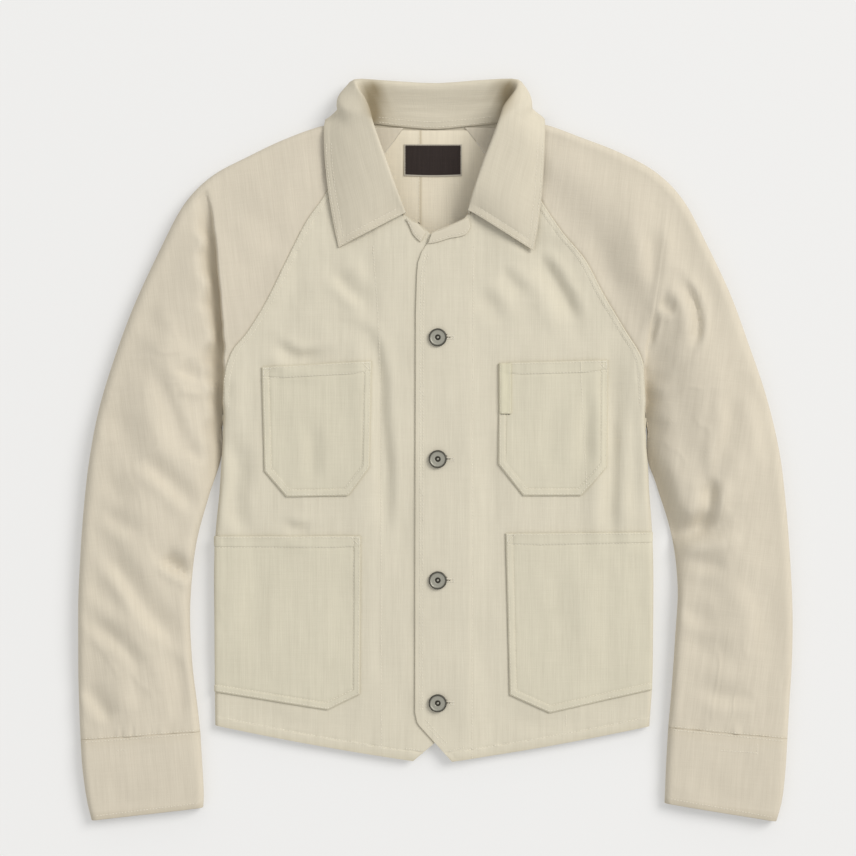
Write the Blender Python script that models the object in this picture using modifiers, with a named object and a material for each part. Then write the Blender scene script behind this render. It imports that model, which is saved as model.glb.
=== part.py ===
"""A four-pocket work jacket in woven cloth, laid flat on its back and buttoned.

The jacket lies on the plane z = 0. X runs across it, +Y runs from hem to collar and +Z is up. The origin is
under the middle of its outline. Every panel is a thin sheet of its own, and neighbours meet with a seam gap.
Names use the wearer's sides: the wearer's left is at +X. Tables are in millimetres.
"""

import math

import bpy
import numpy as np

MM = 0.001

# Cloth walls and gaps
CLOTH = 1.4
COLLAR_CLOTH = 1.8
CUFF_CLOTH = 1.8
POCKET_CLOTH = 1.2
TRIM_CLOTH = 1.0
SEAM_GAP = 0.34
LAY_GAP = 0.4

# Buttons
BUTTON_ACROSS = 18.0
BUTTON_X = 2.3
BUTTON_YS = (112.8, -8.5, -129.5, -252.5)

# Levels of the garment. The rows of the fronts fan out below FAN_TOP. Between the two underarm levels the panels
# change from a flat raglan seam to a roll round the side, with its seam underneath.
FAN_TOP = -80.0
UNDERARM_OPEN = 45.0
UNDERARM_CLOSED = 10.0
CENTRE_BACK_X = -14.9
SIDE_X = 215.0
SIDE_WRAP = 7.0
SEAM_STRIP = 9.0
LAP_FLAT = 29.0
LAP_END = 56.0

# Faces across the panels
ROLL_STEPS = 5
FRONT_ACROSS = 8
SLEEVE_ACROSS = 8
UNDER_ACROSS = 2
BACK_ACROSS = 5
CUFF_ABOVE = 4
CUFF_BELOW = 3

# Body: the side folds of the wearer's right and left, the height at the folds and the rise towards the middle
BODY_COLUMNS = ("y", "fold_minus", "fold_plus", "edge_height", "swell")
BODY_ROWS = (
    (-315.0, -219.5, 213.0, 7.8, 0.4),
    (-275.0, -220.6, 214.6, 8.6, 1.0),
    (-240.0, -221.0, 217.1, 9.6, 1.8),
    (-180.0, -221.4, 218.2, 11.0, 3.0),
    (-90.0, -220.8, 217.6, 12.5, 4.0),
    (-28.0, -215.0, 213.4, 13.6, 4.4),
    (40.0, -212.2, 210.8, 14.6, 4.5),
    (90.0, -211.4, 210.6, 15.2, 4.2),
    (180.0, -211.4, 210.6, 16.0, 3.2),
    (250.0, -211.4, 210.6, 16.4, 1.4),
    (330.0, -211.4, 210.6, 16.4, 0.4),
)

# Creases that run from the shoulder down into the underarm
CREASE_COLUMNS = ("y", "x_minus", "x_plus", "depth_minus", "depth_plus")
CREASE_ROWS = (
    (10.0, -214.0, 212.0, 0.0, 0.0),
    (30.0, -213.6, 211.8, 7.0, 7.0),
    (48.0, -213.0, 211.2, 9.0, 9.0),
    (90.0, -213.4, 212.6, 8.6, 6.5),
    (140.0, -216.6, 219.0, 6.0, 3.6),
    (180.0, -221.0, 225.0, 4.0, 2.2),
    (220.0, -226.6, 231.0, 2.4, 1.0),
    (256.0, -231.5, 234.0, 0.6, 0.2),
    (300.0, -236.0, 238.0, 0.0, 0.0),
)
CREASE_WIDTH = 9.5

# The largest soft folds in the sleeves: from x, from y, to x, to y, depth, width
FOLD_ROWS = (
    (-286.0, -32.0, -246.0, -58.0, 3.2, 11.0),
    (-272.0, -108.0, -254.0, -122.0, 3.6, 10.0),
    (-332.0, -110.0, -276.0, -168.0, 2.6, 12.0),
    (-340.0, -182.0, -268.0, -210.0, 2.2, 11.0),
    (-274.0, -224.0, -252.0, -258.0, 1.8, 10.0),
    (250.0, 163.0, 262.0, 114.0, 2.6, 11.0),
    (278.0, 4.0, 287.0, -38.0, 2.0, 11.0),
    (270.0, -50.0, 246.0, -84.0, 3.4, 10.0),
    (262.0, -150.0, 330.0, -186.0, 2.0, 12.0),
    (252.0, -236.0, 300.0, -252.0, 1.6, 10.0),
)

# Sleeves, from the neck to the cuff seam. seam is the front raglan seam, and below the underarm the inner edge.
# edge is the outer edge of the sleeve and back is the back raglan seam underneath.
SLEEVE_COLUMNS = ("seam_x", "seam_y", "edge_x", "edge_y", "back_x", "back_y", "crown", "edge_height", "tube")
SLEEVE_RIGHT_ROWS = (
    (-64.4, 318.0, -72.5, 329.0, -32.0, 323.6, 16.8, 14.0, 0.0),
    (-89.4, 284.5, -110.4, 325.5, -49.0, 301.0, 18.0, 15.0, 0.0),
    (-114.4, 249.5, -150.0, 312.0, -83.0, 262.0, 20.0, 16.0, 0.0),
    (-130.4, 226.5, -188.4, 293.8, -112.0, 225.0, 21.6, 17.0, 0.0),
    (-148.4, 191.0, -224.2, 274.2, -140.0, 182.0, 23.0, 18.0, 0.0),
    (-168.4, 150.5, -252.0, 245.5, -168.0, 142.0, 24.6, 19.0, 0.0),
    (-188.4, 118.0, -277.0, 198.0, -191.0, 112.0, 25.6, 20.0, 0.0),
    (-203.0, 100.0, -302.0, 144.0, -203.0, 94.0, 26.0, 20.0, 0.0),
    (-211.4, 75.0, -322.0, 90.0, -209.0, 68.0, 26.0, 20.0, 0.0),
    (-213.2, 45.0, -336.5, 42.0, -211.0, 40.0, 26.0, 20.0, 0.0),
    (-216.6, 1.5, -345.5, -4.0, -216.6, 1.5, 26.0, 20.0, 1.0),
    (-228.5, -45.0, -351.2, -50.0, -228.5, -45.0, 25.4, 19.5, 1.0),
    (-239.6, -95.0, -355.2, -102.0, -239.6, -95.0, 24.0, 18.5, 1.0),
    (-245.4, -155.0, -357.6, -160.0, -245.4, -155.0, 22.4, 17.5, 1.0),
    (-243.6, -210.0, -357.6, -214.0, -243.6, -210.0, 20.6, 16.5, 1.0),
    (-238.4, -255.0, -356.6, -260.0, -238.4, -255.0, 18.0, 15.5, 1.0),
    (-235.5, -281.0, -355.4, -289.4, -235.5, -281.0, 15.6, 14.6, 1.0),
)
SLEEVE_LEFT_ROWS = (
    (64.4, 318.0, 72.5, 329.0, 29.5, 324.0, 16.8, 14.0, 0.0),
    (84.6, 282.5, 108.5, 326.5, 50.6, 297.5, 18.0, 15.0, 0.0),
    (105.6, 249.5, 147.0, 313.0, 80.0, 258.0, 20.0, 16.0, 0.0),
    (127.0, 218.0, 184.0, 298.5, 110.0, 218.0, 21.6, 17.0, 0.0),
    (150.0, 190.0, 220.0, 279.0, 140.0, 178.0, 23.0, 18.0, 0.0),
    (168.0, 156.5, 248.0, 250.5, 167.0, 138.0, 24.6, 19.0, 0.0),
    (188.0, 123.0, 271.5, 206.5, 189.0, 98.0, 25.6, 20.0, 0.0),
    (206.0, 93.0, 295.3, 156.0, 203.0, 68.0, 26.0, 20.0, 0.0),
    (209.6, 67.5, 313.0, 108.0, 207.0, 50.0, 26.0, 20.0, 0.0),
    (210.8, 42.0, 331.5, 53.0, 209.0, 36.0, 26.0, 20.0, 0.0),
    (213.2, -2.0, 344.0, 0.0, 213.2, -2.0, 26.0, 20.0, 1.0),
    (221.6, -34.0, 350.2, -48.0, 221.6, -34.0, 25.4, 19.5, 1.0),
    (236.6, -84.0, 354.4, -98.0, 236.6, -84.0, 24.0, 18.5, 1.0),
    (242.6, -135.0, 357.4, -155.0, 242.6, -135.0, 22.4, 17.5, 1.0),
    (240.2, -185.0, 357.2, -205.0, 240.2, -185.0, 20.6, 16.5, 1.0),
    (236.4, -240.0, 354.6, -252.0, 236.4, -240.0, 18.0, 15.5, 1.0),
    (233.2, -277.0, 352.6, -288.2, 233.2, -277.0, 15.6, 14.6, 1.0),
)
SLEEVE_STEPS = 26

# Cuffs, from the sleeve seam to the open end
CUFF_COLUMNS = ("inner_x", "inner_y", "outer_x", "outer_y", "height")
CUFF_RIGHT_ROWS = (
    (-235.4, -281.4, -355.4, -289.8, 15.4),
    (-233.6, -312.0, -353.6, -318.0, 14.4),
    (-232.0, -342.0, -349.4, -349.0, 13.2),
    (-232.6, -357.6, -344.4, -370.4, 12.4),
)
CUFF_LEFT_ROWS = (
    (233.1, -277.4, 352.6, -288.6, 15.4),
    (231.2, -312.0, 350.8, -319.0, 14.4),
    (230.2, -337.0, 347.4, -350.0, 13.2),
    (229.6, -353.2, 341.6, -371.4, 12.4),
)

# Front edges as (y, x), from the hem corner up to the neck. The wearer's left front laps over the right one.
FRONT_LEFT_EDGE = (
    (-313.0, 18.0),
    (-292.0, -1.0),
    (-273.2, -17.9),
    (-262.0, -20.4),
    (138.0, -19.6),
    (176.0, -18.4),
    (188.0, -17.2),
    (198.5, -13.4),
    (206.0, -8.4),
    (212.0, -7.0),
    (218.0, -3.0),
    (225.5, 15.6),
    (231.5, 28.6),
    (238.0, 34.6),
    (258.0, 39.6),
    (288.0, 49.6),
    (306.0, 57.0),
    (316.0, 61.6),
)
FRONT_RIGHT_EDGE = (
    (-311.0, -22.4),
    (-292.5, -0.4),
    (-271.5, 23.6),
    (-262.0, 24.6),
    (138.0, 24.6),
    (186.0, 24.6),
    (198.5, 18.0),
    (207.5, 2.0),
    (216.5, -5.0),
    (226.0, -16.0),
    (235.5, -31.4),
    (254.0, -38.6),
    (284.0, -48.6),
    (306.0, -57.4),
    (316.0, -61.6),
)

# Rows of the front panels. The fan rows are shares of the way from FAN_TOP to the hem, the others are levels.
FRONT_FAN = (1.0, 0.955, 0.9, 0.825, 0.76, 0.64, 0.5, 0.36, 0.22, 0.1)
FRONT_LEVELS = (
    -80.0, -46.0, -18.0, 10.0, 28.0, 45.0, 60.0, 76.0, 90.0, 102.0, 109.0, 115.0, 123.0, 136.0, 158.0, 176.0,
    188.0, 198.5, 206.0, 212.0, 218.0, 225.5, 231.5, 238.0, 256.0, 278.0, 300.0, 314.0,
)

BACK_LEVELS = (
    -262.0, -200.0, -120.0, -46.0, -18.0, 10.0, 28.0, 45.0, 60.0, 76.0, 94.0, 112.0, 150.0, 188.0,
    222.0, 252.0, 278.0, 300.0, 311.0, 321.0,
)

# The hem falls towards the centre front
HEM_CENTRE = -314.0
HEM_SLOPE = 0.137
HEM_CURVE = 0.00018
BACK_HEM_CENTRE = -288.0
BACK_HEM_SLOPE = 0.05

# Collar, from the wearer's right front round the back to the wearer's left front: the neck seam, the fold, the
# turn just past it and the leaf's outer edge. under is 0 where the leaf lies over the shoulder and 1 where it is
# tucked beneath the back.
COLLAR_COLUMNS = (
    "neck_x", "neck_y", "neck_z", "fold_x", "fold_y", "fold_z",
    "turn_x", "turn_y", "turn_z", "edge_x", "edge_y", "edge_z", "under",
)
COLLAR_ROWS = (
    (-31.6, 233.6, 19.0, -31.2, 236.6, 22.4, -36.0, 234.2, 22.4, -96.4, 202.5, 19.8, 0.0),
    (-39.0, 254.0, 18.8, -39.6, 258.5, 26.0, -45.0, 256.4, 25.8, -101.0, 224.0, 19.8, 0.0),
    (-48.6, 282.0, 18.8, -49.4, 285.5, 29.5, -55.0, 283.4, 29.2, -106.4, 256.0, 21.0, 0.0),
    (-57.0, 304.0, 18.4, -58.0, 309.0, 32.0, -64.0, 307.4, 31.4, -109.6, 285.0, 21.8, 0.0),
    (-62.6, 319.4, 17.2, -64.4, 327.5, 33.0, -71.4, 327.0, 32.0, -110.6, 306.0, 22.0, 0.0),
    (-68.6, 326.0, 14.4, -69.4, 340.0, 32.0, -89.0, 341.0, 27.0, -109.8, 330.0, 13.0, 0.3),
    (-71.8, 330.6, 9.0, -74.0, 351.5, 29.0, -93.0, 353.0, 19.0, -99.0, 331.0, 0.9, 0.8),
    (-69.4, 329.4, 4.6, -79.0, 362.0, 24.0, -88.6, 363.0, 14.0, -84.0, 322.0, 0.9, 1.0),
    (-58.0, 327.6, 3.4, -78.0, 369.0, 18.0, -79.6, 370.4, 10.0, -62.0, 313.0, 0.9, 1.0),
    (-34.0, 324.8, 3.2, -50.0, 367.6, 14.0, -49.0, 369.4, 7.4, -40.0, 309.5, 0.9, 1.0),
    (0.0, 322.4, 3.2, 0.0, 365.0, 12.5, 0.0, 366.8, 6.6, 0.0, 308.0, 0.9, 1.0),
    (31.5, 325.2, 3.2, 48.0, 368.2, 14.0, 47.0, 370.0, 7.4, 38.0, 309.5, 0.9, 1.0),
    (57.0, 327.8, 3.4, 78.0, 369.2, 18.0, 79.6, 370.4, 10.0, 62.0, 313.0, 0.9, 1.0),
    (69.4, 329.4, 4.6, 82.6, 363.0, 24.0, 88.0, 364.6, 14.0, 84.0, 322.0, 0.9, 1.0),
    (71.8, 330.6, 9.0, 77.6, 353.0, 29.0, 91.6, 354.0, 19.0, 98.0, 331.0, 0.9, 0.8),
    (68.6, 326.0, 14.4, 71.4, 343.0, 32.0, 88.0, 343.0, 27.0, 108.4, 332.0, 13.0, 0.3),
    (62.6, 319.4, 17.2, 65.8, 331.0, 33.0, 72.4, 330.6, 32.0, 108.6, 308.0, 22.0, 0.0),
    (57.0, 304.0, 18.4, 58.6, 311.0, 32.0, 64.6, 309.4, 31.4, 107.8, 285.0, 21.8, 0.0),
    (48.6, 282.0, 18.8, 49.6, 288.5, 29.5, 55.2, 286.4, 29.2, 106.0, 256.0, 21.2, 0.0),
    (39.0, 254.0, 20.2, 40.0, 260.5, 26.8, 45.4, 258.4, 26.6, 102.0, 223.0, 20.6, 0.0),
    (33.4, 235.4, 20.6, 33.6, 239.0, 23.8, 38.4, 236.6, 23.8, 97.6, 199.5, 20.2, 0.0),
)
COLLAR_STEPS = 30

# A collar section passes six points at these places along it, and has its corners at the shares
COLLAR_PLACES = (0.0, 0.2, 0.4, 0.5, 0.7, 1.0)
COLLAR_SHARES = (0.0, 0.12, 0.24, 0.34, 0.4, 0.45, 0.5, 0.57, 0.66, 0.8, 1.0)
LEAF_ARCH = 1.4
TUCKED_LEAF_Z = 1.4

# The back and sleeves rise over the tucked leaf, between two levels and inside two distances from the middle
COLLAR_LIFT = 2.2
LIFT_LEVELS = (240.0, 306.0)
LIFT_ACROSS = (100.0, 130.0)

# Neck band ends, on the fronts between the collar and the front edge: lower x, y, upper x, y, rise
BAND_SHARES = (0.0, 0.33, 0.67, 1.0)
BAND_LEFT_ROWS = (
    (-7.6, 206.0, -3.8, 216.6, 0.0),
    (1.6, 207.6, 5.0, 220.0, 0.3),
    (14.0, 211.4, 15.8, 224.6, 0.8),
    (25.0, 213.4, 25.6, 229.0, 1.2),
    (31.6, 216.4, 30.4, 231.2, 1.2),
    (35.0, 223.0, 33.4, 231.4, 0.9),
)
BAND_RIGHT_ROWS = (
    (-14.8, 208.2, -9.6, 217.6, 0.0),
    (-18.6, 211.4, -13.8, 222.0, 0.3),
    (-22.8, 216.6, -18.6, 226.4, 0.6),
    (-25.8, 223.4, -24.0, 228.8, 0.8),
    (-29.4, 231.0, -28.0, 231.8, 0.6),
)

# Pockets: the mouth runs between two corners, and the lower edge is an outline with clipped corners
POCKETS = {
    "pocket_chest_right": {
        "side": -1,
        "mouth": ((-173.4, 83.5), (-63.4, 89.5)),
        "lower": ((0.0, -170.7, -20.5), (0.2, -148.9, -46.2), (0.79, -86.9, -45.1), (1.0, -65.7, -16.9)),
    },
    "pocket_chest_left": {
        "side": 1,
        "mouth": ((63.6, 87.5), (172.6, 90.5)),
        "lower": ((0.0, 62.6, -13.5), (0.2, 87.6, -45.0), (0.77, 145.6, -45.0), (1.0, 171.6, -16.5)),
    },
    "pocket_lower_right": {
        "side": -1,
        "mouth": ((-219.6, -85.5), (-74.4, -84.9)),
        "lower": ((0.0, -219.8, -241.5), (0.78, -107.8, -259.5), (1.0, -75.4, -243.5)),
    },
    "pocket_lower_left": {
        "side": 1,
        "mouth": ((70.0, -82.5), (216.0, -81.5)),
        "lower": ((0.0, 74.2, -244.5), (0.24, 114.2, -262.5), (1.0, 215.6, -239.5)),
    },
}
POCKET_DOWN = 8
POCKET_ACROSS = 12
POCKET_NEAR_SIDE = (0.01, 0.02, 0.03, 0.05)
TAB_CORNERS = ((63.2, 87.0), (75.6, 36.6))
LABEL_CORNERS = ((-31.4, 307.0), (26.6, 275.5))


def smooth(low, high, value):
    """0 below low, 1 above high and an even S-curve between."""
    share = np.clip((np.asarray(value, float) - low) / (high - low), 0.0, 1.0)
    return share * share * (3.0 - 2.0 * share)


def column(names, rows, name):
    index = names.index(name)
    return np.array([row[index] for row in rows], float)


def flowing(knots, values, at):
    """A curve through a table's values, with the slope at each row taken from its neighbours."""
    knots = np.asarray(knots, float)
    values = np.asarray(values, float)
    at = np.clip(np.asarray(at, float), knots[0], knots[-1])
    slopes = np.gradient(values, knots)
    flat = np.diff(values) == 0
    slopes[:-1][flat] = 0.0
    slopes[1:][flat] = 0.0
    i = np.clip(np.searchsorted(knots, at, side="right") - 1, 0, len(knots) - 2)
    span = knots[i + 1] - knots[i]
    t = (at - knots[i]) / span
    ease = t * t * (3.0 - 2.0 * t)
    bend = slopes[i] * t * (1.0 - t) ** 2 - slopes[i + 1] * t * t * (1.0 - t)
    return values[i] + (values[i + 1] - values[i]) * ease + span * bend


def body_value(name, y):
    return flowing(column(BODY_COLUMNS, BODY_ROWS, "y"), column(BODY_COLUMNS, BODY_ROWS, name), y)


def crease_value(name, y):
    return flowing(column(CREASE_COLUMNS, CREASE_ROWS, "y"), column(CREASE_COLUMNS, CREASE_ROWS, name), y)


def crease(x, y):
    """Depth of the two underarm creases at a point."""
    depth = 0.0
    for side in ("minus", "plus"):
        away = (x - crease_value("x_" + side, y)) / CREASE_WIDTH
        depth = depth + crease_value("depth_" + side, y) * np.exp(-away * away)
    return depth


def folds(x, y):
    """Depth of the soft folds at a point."""
    depth = 0.0
    for from_x, from_y, to_x, to_y, deep, width in FOLD_ROWS:
        run_x, run_y = to_x - from_x, to_y - from_y
        share = ((x - from_x) * run_x + (y - from_y) * run_y) / (run_x**2 + run_y**2)
        share = min(max(share, 0.0), 1.0)
        away = math.hypot(x - from_x - run_x * share, y - from_y - run_y * share) / width
        depth += deep * math.exp(-away * away)
    return depth


def body_arch(x, y):
    """Height of the garment's upper face over its lower one, without its creases."""
    low = body_value("fold_minus", y)
    high = body_value("fold_plus", y)
    across = np.clip(2.0 * (x - low) / (high - low) - 1.0, -1.0, 1.0)
    return body_value("edge_height", y) + body_value("swell", y) * (1.0 - across * across)


def body_top(x, y):
    """Height of the fronts' outer face over the flat body, before the sides roll down."""
    return body_arch(x, y) - crease(x, y)


def lap_step(x, side):
    """The left front rides one cloth higher where it laps over the right one."""
    if side < 0:
        return 0.0
    return (CLOTH + LAY_GAP) * (1.0 - smooth(LAP_FLAT, LAP_END, x))


def front_top(x, y, side):
    """Height of a front's outer face, with the roll at its side fold."""
    fold = float(body_value("fold_plus" if side > 0 else "fold_minus", y))
    radius = 0.5 * float(body_value("edge_height", y))
    inside = side * (fold - x)
    if inside >= radius or y > UNDERARM_CLOSED:
        return float(body_top(x, y) + lap_step(x, side))
    drop = radius - max(inside, 0.0)
    return radius + math.sqrt(max(radius * radius - drop * drop, 0.0))


def collar_lift(x, y):
    """The back and the sleeves rise over the collar leaf that is tucked beneath them."""
    return COLLAR_LIFT * float(smooth(*LIFT_LEVELS, y)) * (1.0 - float(smooth(*LIFT_ACROSS, abs(x))))


def front_hem(x):
    away = abs(x + 1.0)
    return HEM_CENTRE + HEM_SLOPE * away + HEM_CURVE * away * away


def back_hem(x):
    return BACK_HEM_CENTRE + BACK_HEM_SLOPE * abs(x)


def front_edge_x(side, y):
    rows = FRONT_LEFT_EDGE if side > 0 else FRONT_RIGHT_EDGE
    return float(np.interp(y, [row[0] for row in rows], [row[1] for row in rows]))


def sleeve_rows(side):
    return SLEEVE_LEFT_ROWS if side > 0 else SLEEVE_RIGHT_ROWS


def sleeve_values(side, at):
    """The sleeve table's values between its rows, by name."""
    rows = sleeve_rows(side)
    knots = range(len(rows))
    return {name: float(flowing(knots, column(SLEEVE_COLUMNS, rows, name), at)) for name in SLEEVE_COLUMNS}


def sleeve_stations(side):
    last = len(sleeve_rows(side)) - 1
    return [sleeve_values(side, last * i / SLEEVE_STEPS) for i in range(SLEEVE_STEPS + 1)]


def seam_x(side, y, place):
    """Place of the front or the back raglan seam at a level, down to the underarm."""
    line = [station for station in sleeve_stations(side) if station["tube"] < 0.01][::-1]
    levels = [station[place + "_y"] for station in line]
    return float(np.interp(y, levels, [station[place + "_x"] for station in line]))


def side_seam_x(side, y):
    """Place of the side seam underneath, just inside the side fold."""
    fold = float(body_value("fold_plus" if side > 0 else "fold_minus", y))
    return fold - side * (0.5 * float(body_value("edge_height", y)) + SIDE_WRAP)


def tube_share(y):
    """0 where a panel ends at the raglan seam and 1 where it runs on round the side to the seam underneath."""
    return 1.0 - float(smooth(UNDERARM_CLOSED, UNDERARM_OPEN, y))


def along(first, last, steps):
    """Shares from just after the first point to the last one."""
    return [first + (last - first) * (i + 1) / steps for i in range(steps)]


def roll_points(centre_x, radius, direction, top_down):
    """A half turn between the top and the underside of a fold, as (offset outwards, height) pairs."""
    angles = along(90.0, -90.0, ROLL_STEPS) if top_down else along(-90.0, 90.0, ROLL_STEPS)
    return [
        (centre_x + direction * radius * math.cos(math.radians(a)), radius + radius * math.sin(math.radians(a)))
        for a in angles
    ]


def front_row(side, level, fan):
    """One row of a front, from its front edge to the raglan seam or round the side to the side seam."""

    def y_at(x):
        return FAN_TOP + fan * (front_hem(x) - FAN_TOP) if fan else level

    start = front_edge_x(side, y_at(0.0))
    for _ in range(4):
        start = front_edge_x(side, y_at(start))
    y_side = y_at(side * SIDE_X)
    share = tube_share(y_side)

    fold = float(body_value("fold_plus" if side > 0 else "fold_minus", y_side))
    radius = 0.5 * float(body_value("edge_height", y_side))
    seam = side_seam_x(side, y_side) + side * 0.5 * SEAM_GAP
    closed_top = fold - side * radius
    closed = [(start + (closed_top - start) * k, None) for k in [0.0] + along(0.0, 1.0, FRONT_ACROSS)]
    closed += roll_points(closed_top, radius, side, True)
    closed.append((seam, 0.0))

    end = seam_x(side, y_side, "seam") - side * 0.5 * SEAM_GAP
    open_top = end - side * SEAM_STRIP
    opened = [(start + (open_top - start) * k, None) for k in [0.0] + along(0.0, 1.0, FRONT_ACROSS)]
    opened += [(open_top + (end - open_top) * k, None) for k in along(0.0, 1.0, ROLL_STEPS + 1)]

    row = []
    for (x_closed, z_closed), (x_open, _) in zip(closed, opened):
        x = x_open + (x_closed - x_open) * share
        y = y_at(x)
        z_open = float(body_top(x, y) + lap_step(x, side))
        z = z_open if z_closed is None else z_open + (z_closed - z_open) * share
        row.append((x, y, z))
    return row


def front_rows(side):
    rows = [front_row(side, None, fan) for fan in FRONT_FAN]
    return rows + [front_row(side, level, 0.0) for level in FRONT_LEVELS]


def sleeve_section(value):
    """One section of a sleeve, from the front seam over the top, round the outer edge and back underneath."""
    seam = np.array((value["seam_x"], value["seam_y"]))
    edge = np.array((value["edge_x"], value["edge_y"]))
    back = np.array((value["back_x"], value["back_y"]))
    tube = min(max(value["tube"], 0.0), 1.0)
    wide = float(np.linalg.norm(edge - seam))
    outwards = (edge - seam) / wide
    outer = min(0.5 * value["edge_height"], 0.6 * wide)
    inner = 0.5 * value["edge_height"]

    strip = min(SEAM_STRIP, 0.25 * wide)
    begin = 0.5 * SEAM_GAP
    opened = [(begin + (strip - begin) * k, None) for k in [0.0] + along(0.0, 1.0, ROLL_STEPS + 1)]
    closed = [(inner + SIDE_WRAP, 0.0), (inner, 0.0)]
    closed += roll_points(inner, inner, -1.0, False)
    inside = [
        (a + (b - a) * tube, None if z is None else z)
        for (a, _), (b, z) in zip(opened, closed)
    ]

    top_start = inside[-1][0]
    top_end = wide - outer
    top_low = float(body_arch(*(seam + outwards * strip)))
    top_low = top_low + (2.0 * inner - top_low) * tube
    lift = collar_lift(*edge)
    top_high = value["edge_height"] + lift

    def top_height(offset):
        share = min(max((offset - top_start) / (top_end - top_start), 0.0), 1.0)
        level = top_low + (top_high - top_low) * float(smooth(0.0, 1.0, share))
        swell = value["crown"] - 0.5 * (top_low + top_high)
        x, y = seam + outwards * offset
        return level + swell * math.sin(math.pi * share) ** 2 - float(crease(x, y)) * (1.0 - tube)

    def pressed(x, y, z, top):
        """The folds press the upper half of the sleeve down."""
        return z - folds(x, y) * float(smooth(0.3, 1.0, z / top))

    section = []
    for offset, height in inside:
        x, y = seam + outwards * offset
        z_open = top_height(offset) if tube < 1.0 else 0.0
        z = z_open + ((height or 0.0) - z_open) * tube
        section.append((x, y, pressed(x, y, z, top_low)))
    for share in along(0.0, 1.0, SLEEVE_ACROSS):
        offset = top_start + (top_end - top_start) * share
        x, y = seam + outwards * offset
        z = top_height(offset)
        section.append((x, y, pressed(x, y, z, z)))
    for offset, height in roll_points(top_end, outer, 1.0, True):
        x, y = seam + outwards * offset
        z = lift + height * (top_high - lift) / (2.0 * outer)
        section.append((x, y, pressed(x, y, z, top_high)))
    under = np.array(section[-1][:2])
    seam_below = seam + outwards * (inner + SIDE_WRAP + SEAM_GAP)
    toward = (under - back) / np.linalg.norm(under - back)
    finish = back + toward * 0.5 * SEAM_GAP
    finish = finish + (seam_below - finish) * tube
    for share in along(0.0, 1.0, UNDER_ACROSS):
        x, y = under + (finish - under) * share
        section.append((x, y, collar_lift(x, y)))
    return section


def sleeve_sections(side):
    return [sleeve_section(station) for station in sleeve_stations(side)]


def cuff_sections(side):
    """Closed rings of a cuff: the outer roll, the underside, the inner roll and the top."""
    rows = CUFF_LEFT_ROWS if side > 0 else CUFF_RIGHT_ROWS
    rings = []
    for inner_x, inner_y, outer_x, outer_y, height in rows:
        inner = np.array((inner_x, inner_y))
        outer = np.array((outer_x, outer_y))
        wide = float(np.linalg.norm(outer - inner))
        outwards = (outer - inner) / wide
        radius = 0.5 * height
        flat = wide - height
        pairs = [(radius + flat * k, height) for k in along(0.0, 1.0, CUFF_ABOVE)]
        pairs += roll_points(radius + flat, radius, 1.0, True)
        pairs += [(radius + flat * (1.0 - k), 0.0) for k in along(0.0, 1.0, CUFF_BELOW)]
        pairs += roll_points(radius, radius, -1.0, False)
        rings.append([(*(inner + outwards * offset), z) for offset, z in pairs])
    return rings


def back_rows(side):
    """Rows of a half back, from the centre-back seam out to the side seam or the back raglan seam."""
    rows = []
    centre = CENTRE_BACK_X + side * 0.5 * SEAM_GAP
    for number, level in enumerate((BACK_HEM_CENTRE, *BACK_LEVELS)):
        share = tube_share(level)
        sewn = seam_x(side, level, "back") - side * SEAM_GAP
        free = side_seam_x(side, level) - side * SEAM_GAP
        end = sewn + (free - sewn) * share
        row = []
        for k in [0.0] + along(0.0, 1.0, BACK_ACROSS):
            x = centre + (end - centre) * k
            y = back_hem(x) if number == 0 else level
            row.append((x, y, collar_lift(x, y)))
        rows.append(row)
    return rows


def collar_section(value):
    """One section of the collar: up the stand, over the fold and along the leaf."""
    neck, fold, turn, edge = (
        np.array([value[place + "_" + axis] for axis in "xyz"]) for place in ("neck", "fold", "turn", "edge")
    )
    under = value["under"]
    stand = neck + (fold - neck) * 0.5 - np.array((0.0, 0.0, 1.0))
    over_leaf = turn + (edge - turn) * 0.5 + np.array((0.0, 0.0, LEAF_ARCH))
    under_leaf = turn + (edge - turn) * 0.3
    under_leaf[2] = TUCKED_LEAF_Z
    leaf = over_leaf + (under_leaf - over_leaf) * under
    points = np.array((neck, stand, fold, turn, leaf, edge))
    lowest = 0.5 * COLLAR_CLOTH
    section = np.array([flowing(COLLAR_PLACES, points[:, axis], COLLAR_SHARES) for axis in range(3)]).T
    return [(x, y, max(z, lowest)) for x, y, z in section]


def collar_rows():
    knots = range(len(COLLAR_ROWS))
    rows = []
    for place in np.linspace(0.0, len(COLLAR_ROWS) - 1, COLLAR_STEPS + 1):
        value = {name: flowing(knots, column(COLLAR_COLUMNS, COLLAR_ROWS, name), place) for name in COLLAR_COLUMNS}
        rows.append(collar_section(value))
    return rows


def band_rows(side, above):
    """A narrow strip from its lower to its upper edge, which lifts a little towards the neck."""
    rows = []
    for lower_x, lower_y, upper_x, upper_y, rise in BAND_LEFT_ROWS if side > 0 else BAND_RIGHT_ROWS:
        row = []
        for share in BAND_SHARES:
            x, y = between((lower_x, lower_y), (upper_x, upper_y), share)
            row.append((x, y, front_top(x, y, side) + above + rise * share))
        rows.append(row)
    return rows


def between(first, last, share):
    return tuple(a + (b - a) * share for a, b in zip(first, last))


def pocket_rows(mouth, lower, side, above):
    """A patch that follows the front it lies on, moved out by the height above it."""
    knots = [corner[0] for corner in lower]
    rows = []
    for down in range(POCKET_DOWN + 1):
        row = []
        for share in pocket_shares(lower):
            top_x, top_y = between(mouth[0], mouth[1], share)
            low_x = float(np.interp(share, knots, [corner[1] for corner in lower]))
            low_y = float(np.interp(share, knots, [corner[2] for corner in lower]))
            x, y = between((top_x, top_y), (low_x, low_y), down / POCKET_DOWN)
            row.append(raised(x, y, side, above))
        rows.append(row)
    return rows


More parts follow.
